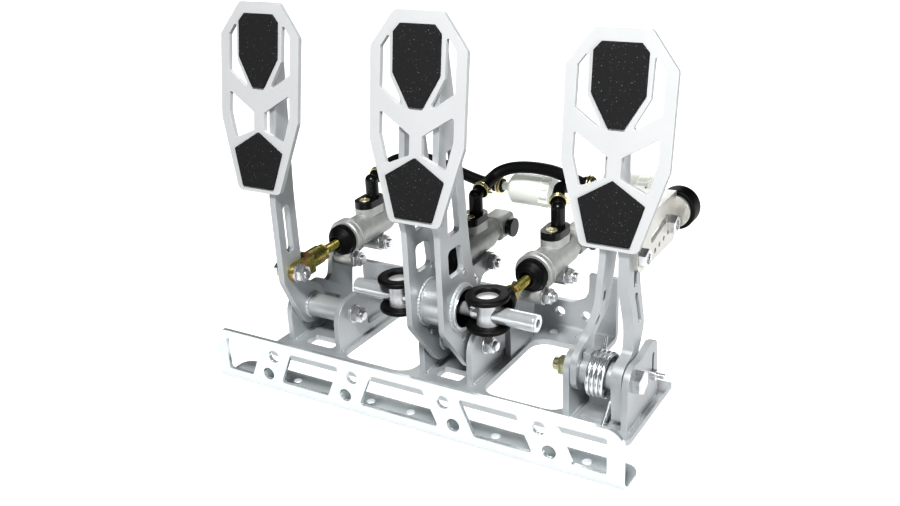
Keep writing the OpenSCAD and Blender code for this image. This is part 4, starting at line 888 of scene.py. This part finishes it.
# The bearing is painted black as painted shade inside the balance-bar tube.
coated("bias_bearing", black_oxide)
for x, node in zip(cylinder_xs[1:], ("brake_clevis_left", "brake_clevis_right")):
    mesh = bmesh.new()
    clevis_at = Vector((x, pin_y, pin_z))
    tilted = Matrix.Translation(clevis_at * MM) @ Matrix.Rotation(rod_tilt, 4, "X")
    for low, arm_rise in heads:
        ring = rounded_ring(trunnion_r + bore_gap, clevis_r, low, low + head_t)
        turned(mesh, ring, tilted, head_steps)
        arm = slab(mesh, (arm_w, arm_l, head_t), (0, arm_middle, low + head_t / 2))
        far = [v for v in arm if v.co.y > arm_middle * MM]
        bmesh.ops.scale(mesh, verts=far, vec=(arm_taper, 1, 1))
        bmesh.ops.translate(mesh, verts=far, vec=(0, 0, arm_rise * MM))
        settled(mesh, arm, arm_soft, tilted)
    turned(mesh, neck, seat_at(clevis_at, rod_way), neck_steps)
    block = slab(mesh, (block_w, block_l, block_h), (0, bridge_y + block_l / 2, 0))
    settled(mesh, block, block_soft, tilted)
    bmesh.ops.recalc_face_normals(mesh, faces=mesh.faces)
    stand_for(placed(mesh, node + "_forged", black_oxide, nodes[node]["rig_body"]), node)

# Trunnions and balance bar. Satin turned barrels across the heads, and a bright steel bar that is
# threaded outside them and plain and slimmer between, with a hexagon socket at each end.
bar_r, bar_pitch, bar_thread = 7, 1.5, 0.45
stud_half, stud_r, bar_half = 27, 5.6, 80
stud_step = 1
bar_end = 2
trunnion_edge = 0.6
# The socket's wall lies nearer to the axis than this share of the bar's radius
socket_share = 0.8


def satin_look(place):
    return {"Base Color": mixed(grain(place, 6), (0.80, 0.81, 0.82), (0.90, 0.91, 0.92)),
            "Roughness": 0.3 + 0.12 * grain(place, 3)}


def chrome_look(place):
    return {"Base Color": mixed(grain(place, 6), (0.78, 0.80, 0.81), (0.88, 0.90, 0.91)),
            "Roughness": 0.14 + 0.12 * grain(place, 3)}


def slimmed(mesh, verts, share):
    """Draws vertices of the bar towards its axis."""
    bmesh.ops.scale(mesh, vec=(1, share, share), verts=verts,
                    space=Matrix.Translation((0, -pin_y * MM, -pin_z * MM)))


satin_steel = finish("satin_steel", satin_look, metallic=0.6)
bright_steel = finish("bright_steel", chrome_look, metallic=0.52)
for node in ("trunnion_left", "trunnion_right"):
    rounded_off(node, trunnion_edge, satin_steel)
bar_mesh = welded_copy("bias_bar")
wall = [v for v in bar_mesh.verts
        if (v.co / MM - Vector((v.co.x / MM, pin_y, pin_z))).length > socket_share * bar_r]
slimmed(bar_mesh, wall, 1 - bar_thread / bar_r)
for cut_at in (-stud_half, stud_step - stud_half, stud_half - stud_step, stud_half):
    bmesh.ops.bisect_plane(bar_mesh, geom=whole(bar_mesh), plane_no=along_x,
                           plane_co=((brake_x + cut_at) * MM, 0, 0))
stud = [v for v in bar_mesh.verts if abs(v.co.x / MM - brake_x) < stud_half - stud_step / 2]
slimmed(bar_mesh, stud, stud_r / (bar_r - bar_thread))
thread_l = bar_half - stud_half - bar_end
for side in (-1, 1):
    bar_seat = seat_at(bar_at, side * along_x)
    thread(bar_mesh, bar_seat, stud_half, thread_l, bar_r, bar_pitch, bar_thread)
bar = placed(cleaned(bar_mesh), "bias_bar_threaded", bright_steel, "bias_bar", smooth=30)
stand_for(bar, "bias_bar")

# Return spring. Bright spring wire, wound in four close curls round the throttle's sleeve.
# Its front leg stands on the base, and its rear leg stands upright behind the sleeve.
spring_wire_r, spring_r, spring_pitch = 1.7, 15.75, 3.45
spring_x = 140.5
spring_curls, curl_steps = 4, 132
leg_angle, exit_angle = radians(-53), radians(-17)
spring_turn = 2 * pi * spring_curls + exit_angle - leg_angle
leg_l, rear_leg_l = 34.9, 24


def curl_point(angle):
    return Vector((spring_x - spring_pitch * (angle - leg_angle) / (2 * pi),
                   throttle_y + spring_r * cos(angle), throttle_z + spring_r * sin(angle)))


def curl_way(angle):
    return Vector((0, -sin(angle), cos(angle)))


curls = [curl_point(leg_angle + spring_turn * k / curl_steps) for k in range(curl_steps + 1)]
front_end = curls[0] - leg_l * curl_way(leg_angle)
rear_end = curls[-1] + rear_leg_l * curl_way(exit_angle)
spring_steel = finish("spring_steel", chrome_look, metallic=0.86)
spring_line = [front_end, *curls, rear_end]
spring = tube("return_spring_wire", spring_line, spring_wire_r, spring_steel, "frame")
stand_for(spring, "return_spring")

# Spring seat. A small sheet steel tab under the spring.
# It is welded to the base and painted with it.
seat_size, seat_middle, seat_edge = (20, 18, 1.6), (129.5, -47, 5.8), 0.4
seat_mesh = bmesh.new()
seat_tab = slab(seat_mesh, seat_size, seat_middle)
bevelled(seat_mesh, edges_of(seat_tab), seat_edge)
placed(seat_mesh, "spring_seat", silver_paint, "frame")

# Stop bracket. Bent sheet steel, nickel plated and bolted to the throttle's lever, with a slotted
# disc and a moulded rubber buffer that ends the pedal's travel.
bracket_edge, buffer_edge = 0.35, 1.6


def nickel_look(place):
    return {"Base Color": mixed(grain(place, 14), (0.74, 0.73, 0.69), (0.84, 0.83, 0.79)),
            "Roughness": 0.26 + 0.12 * grain(place, 8)}


nickel_plate = finish("nickel_plate", nickel_look, metallic=0.45)
for node in ("stop_bracket", "buffer_disc"):
    rounded_off(node, bracket_edge, nickel_plate)
rounded_off("stop_buffer", buffer_edge, black_rubber)
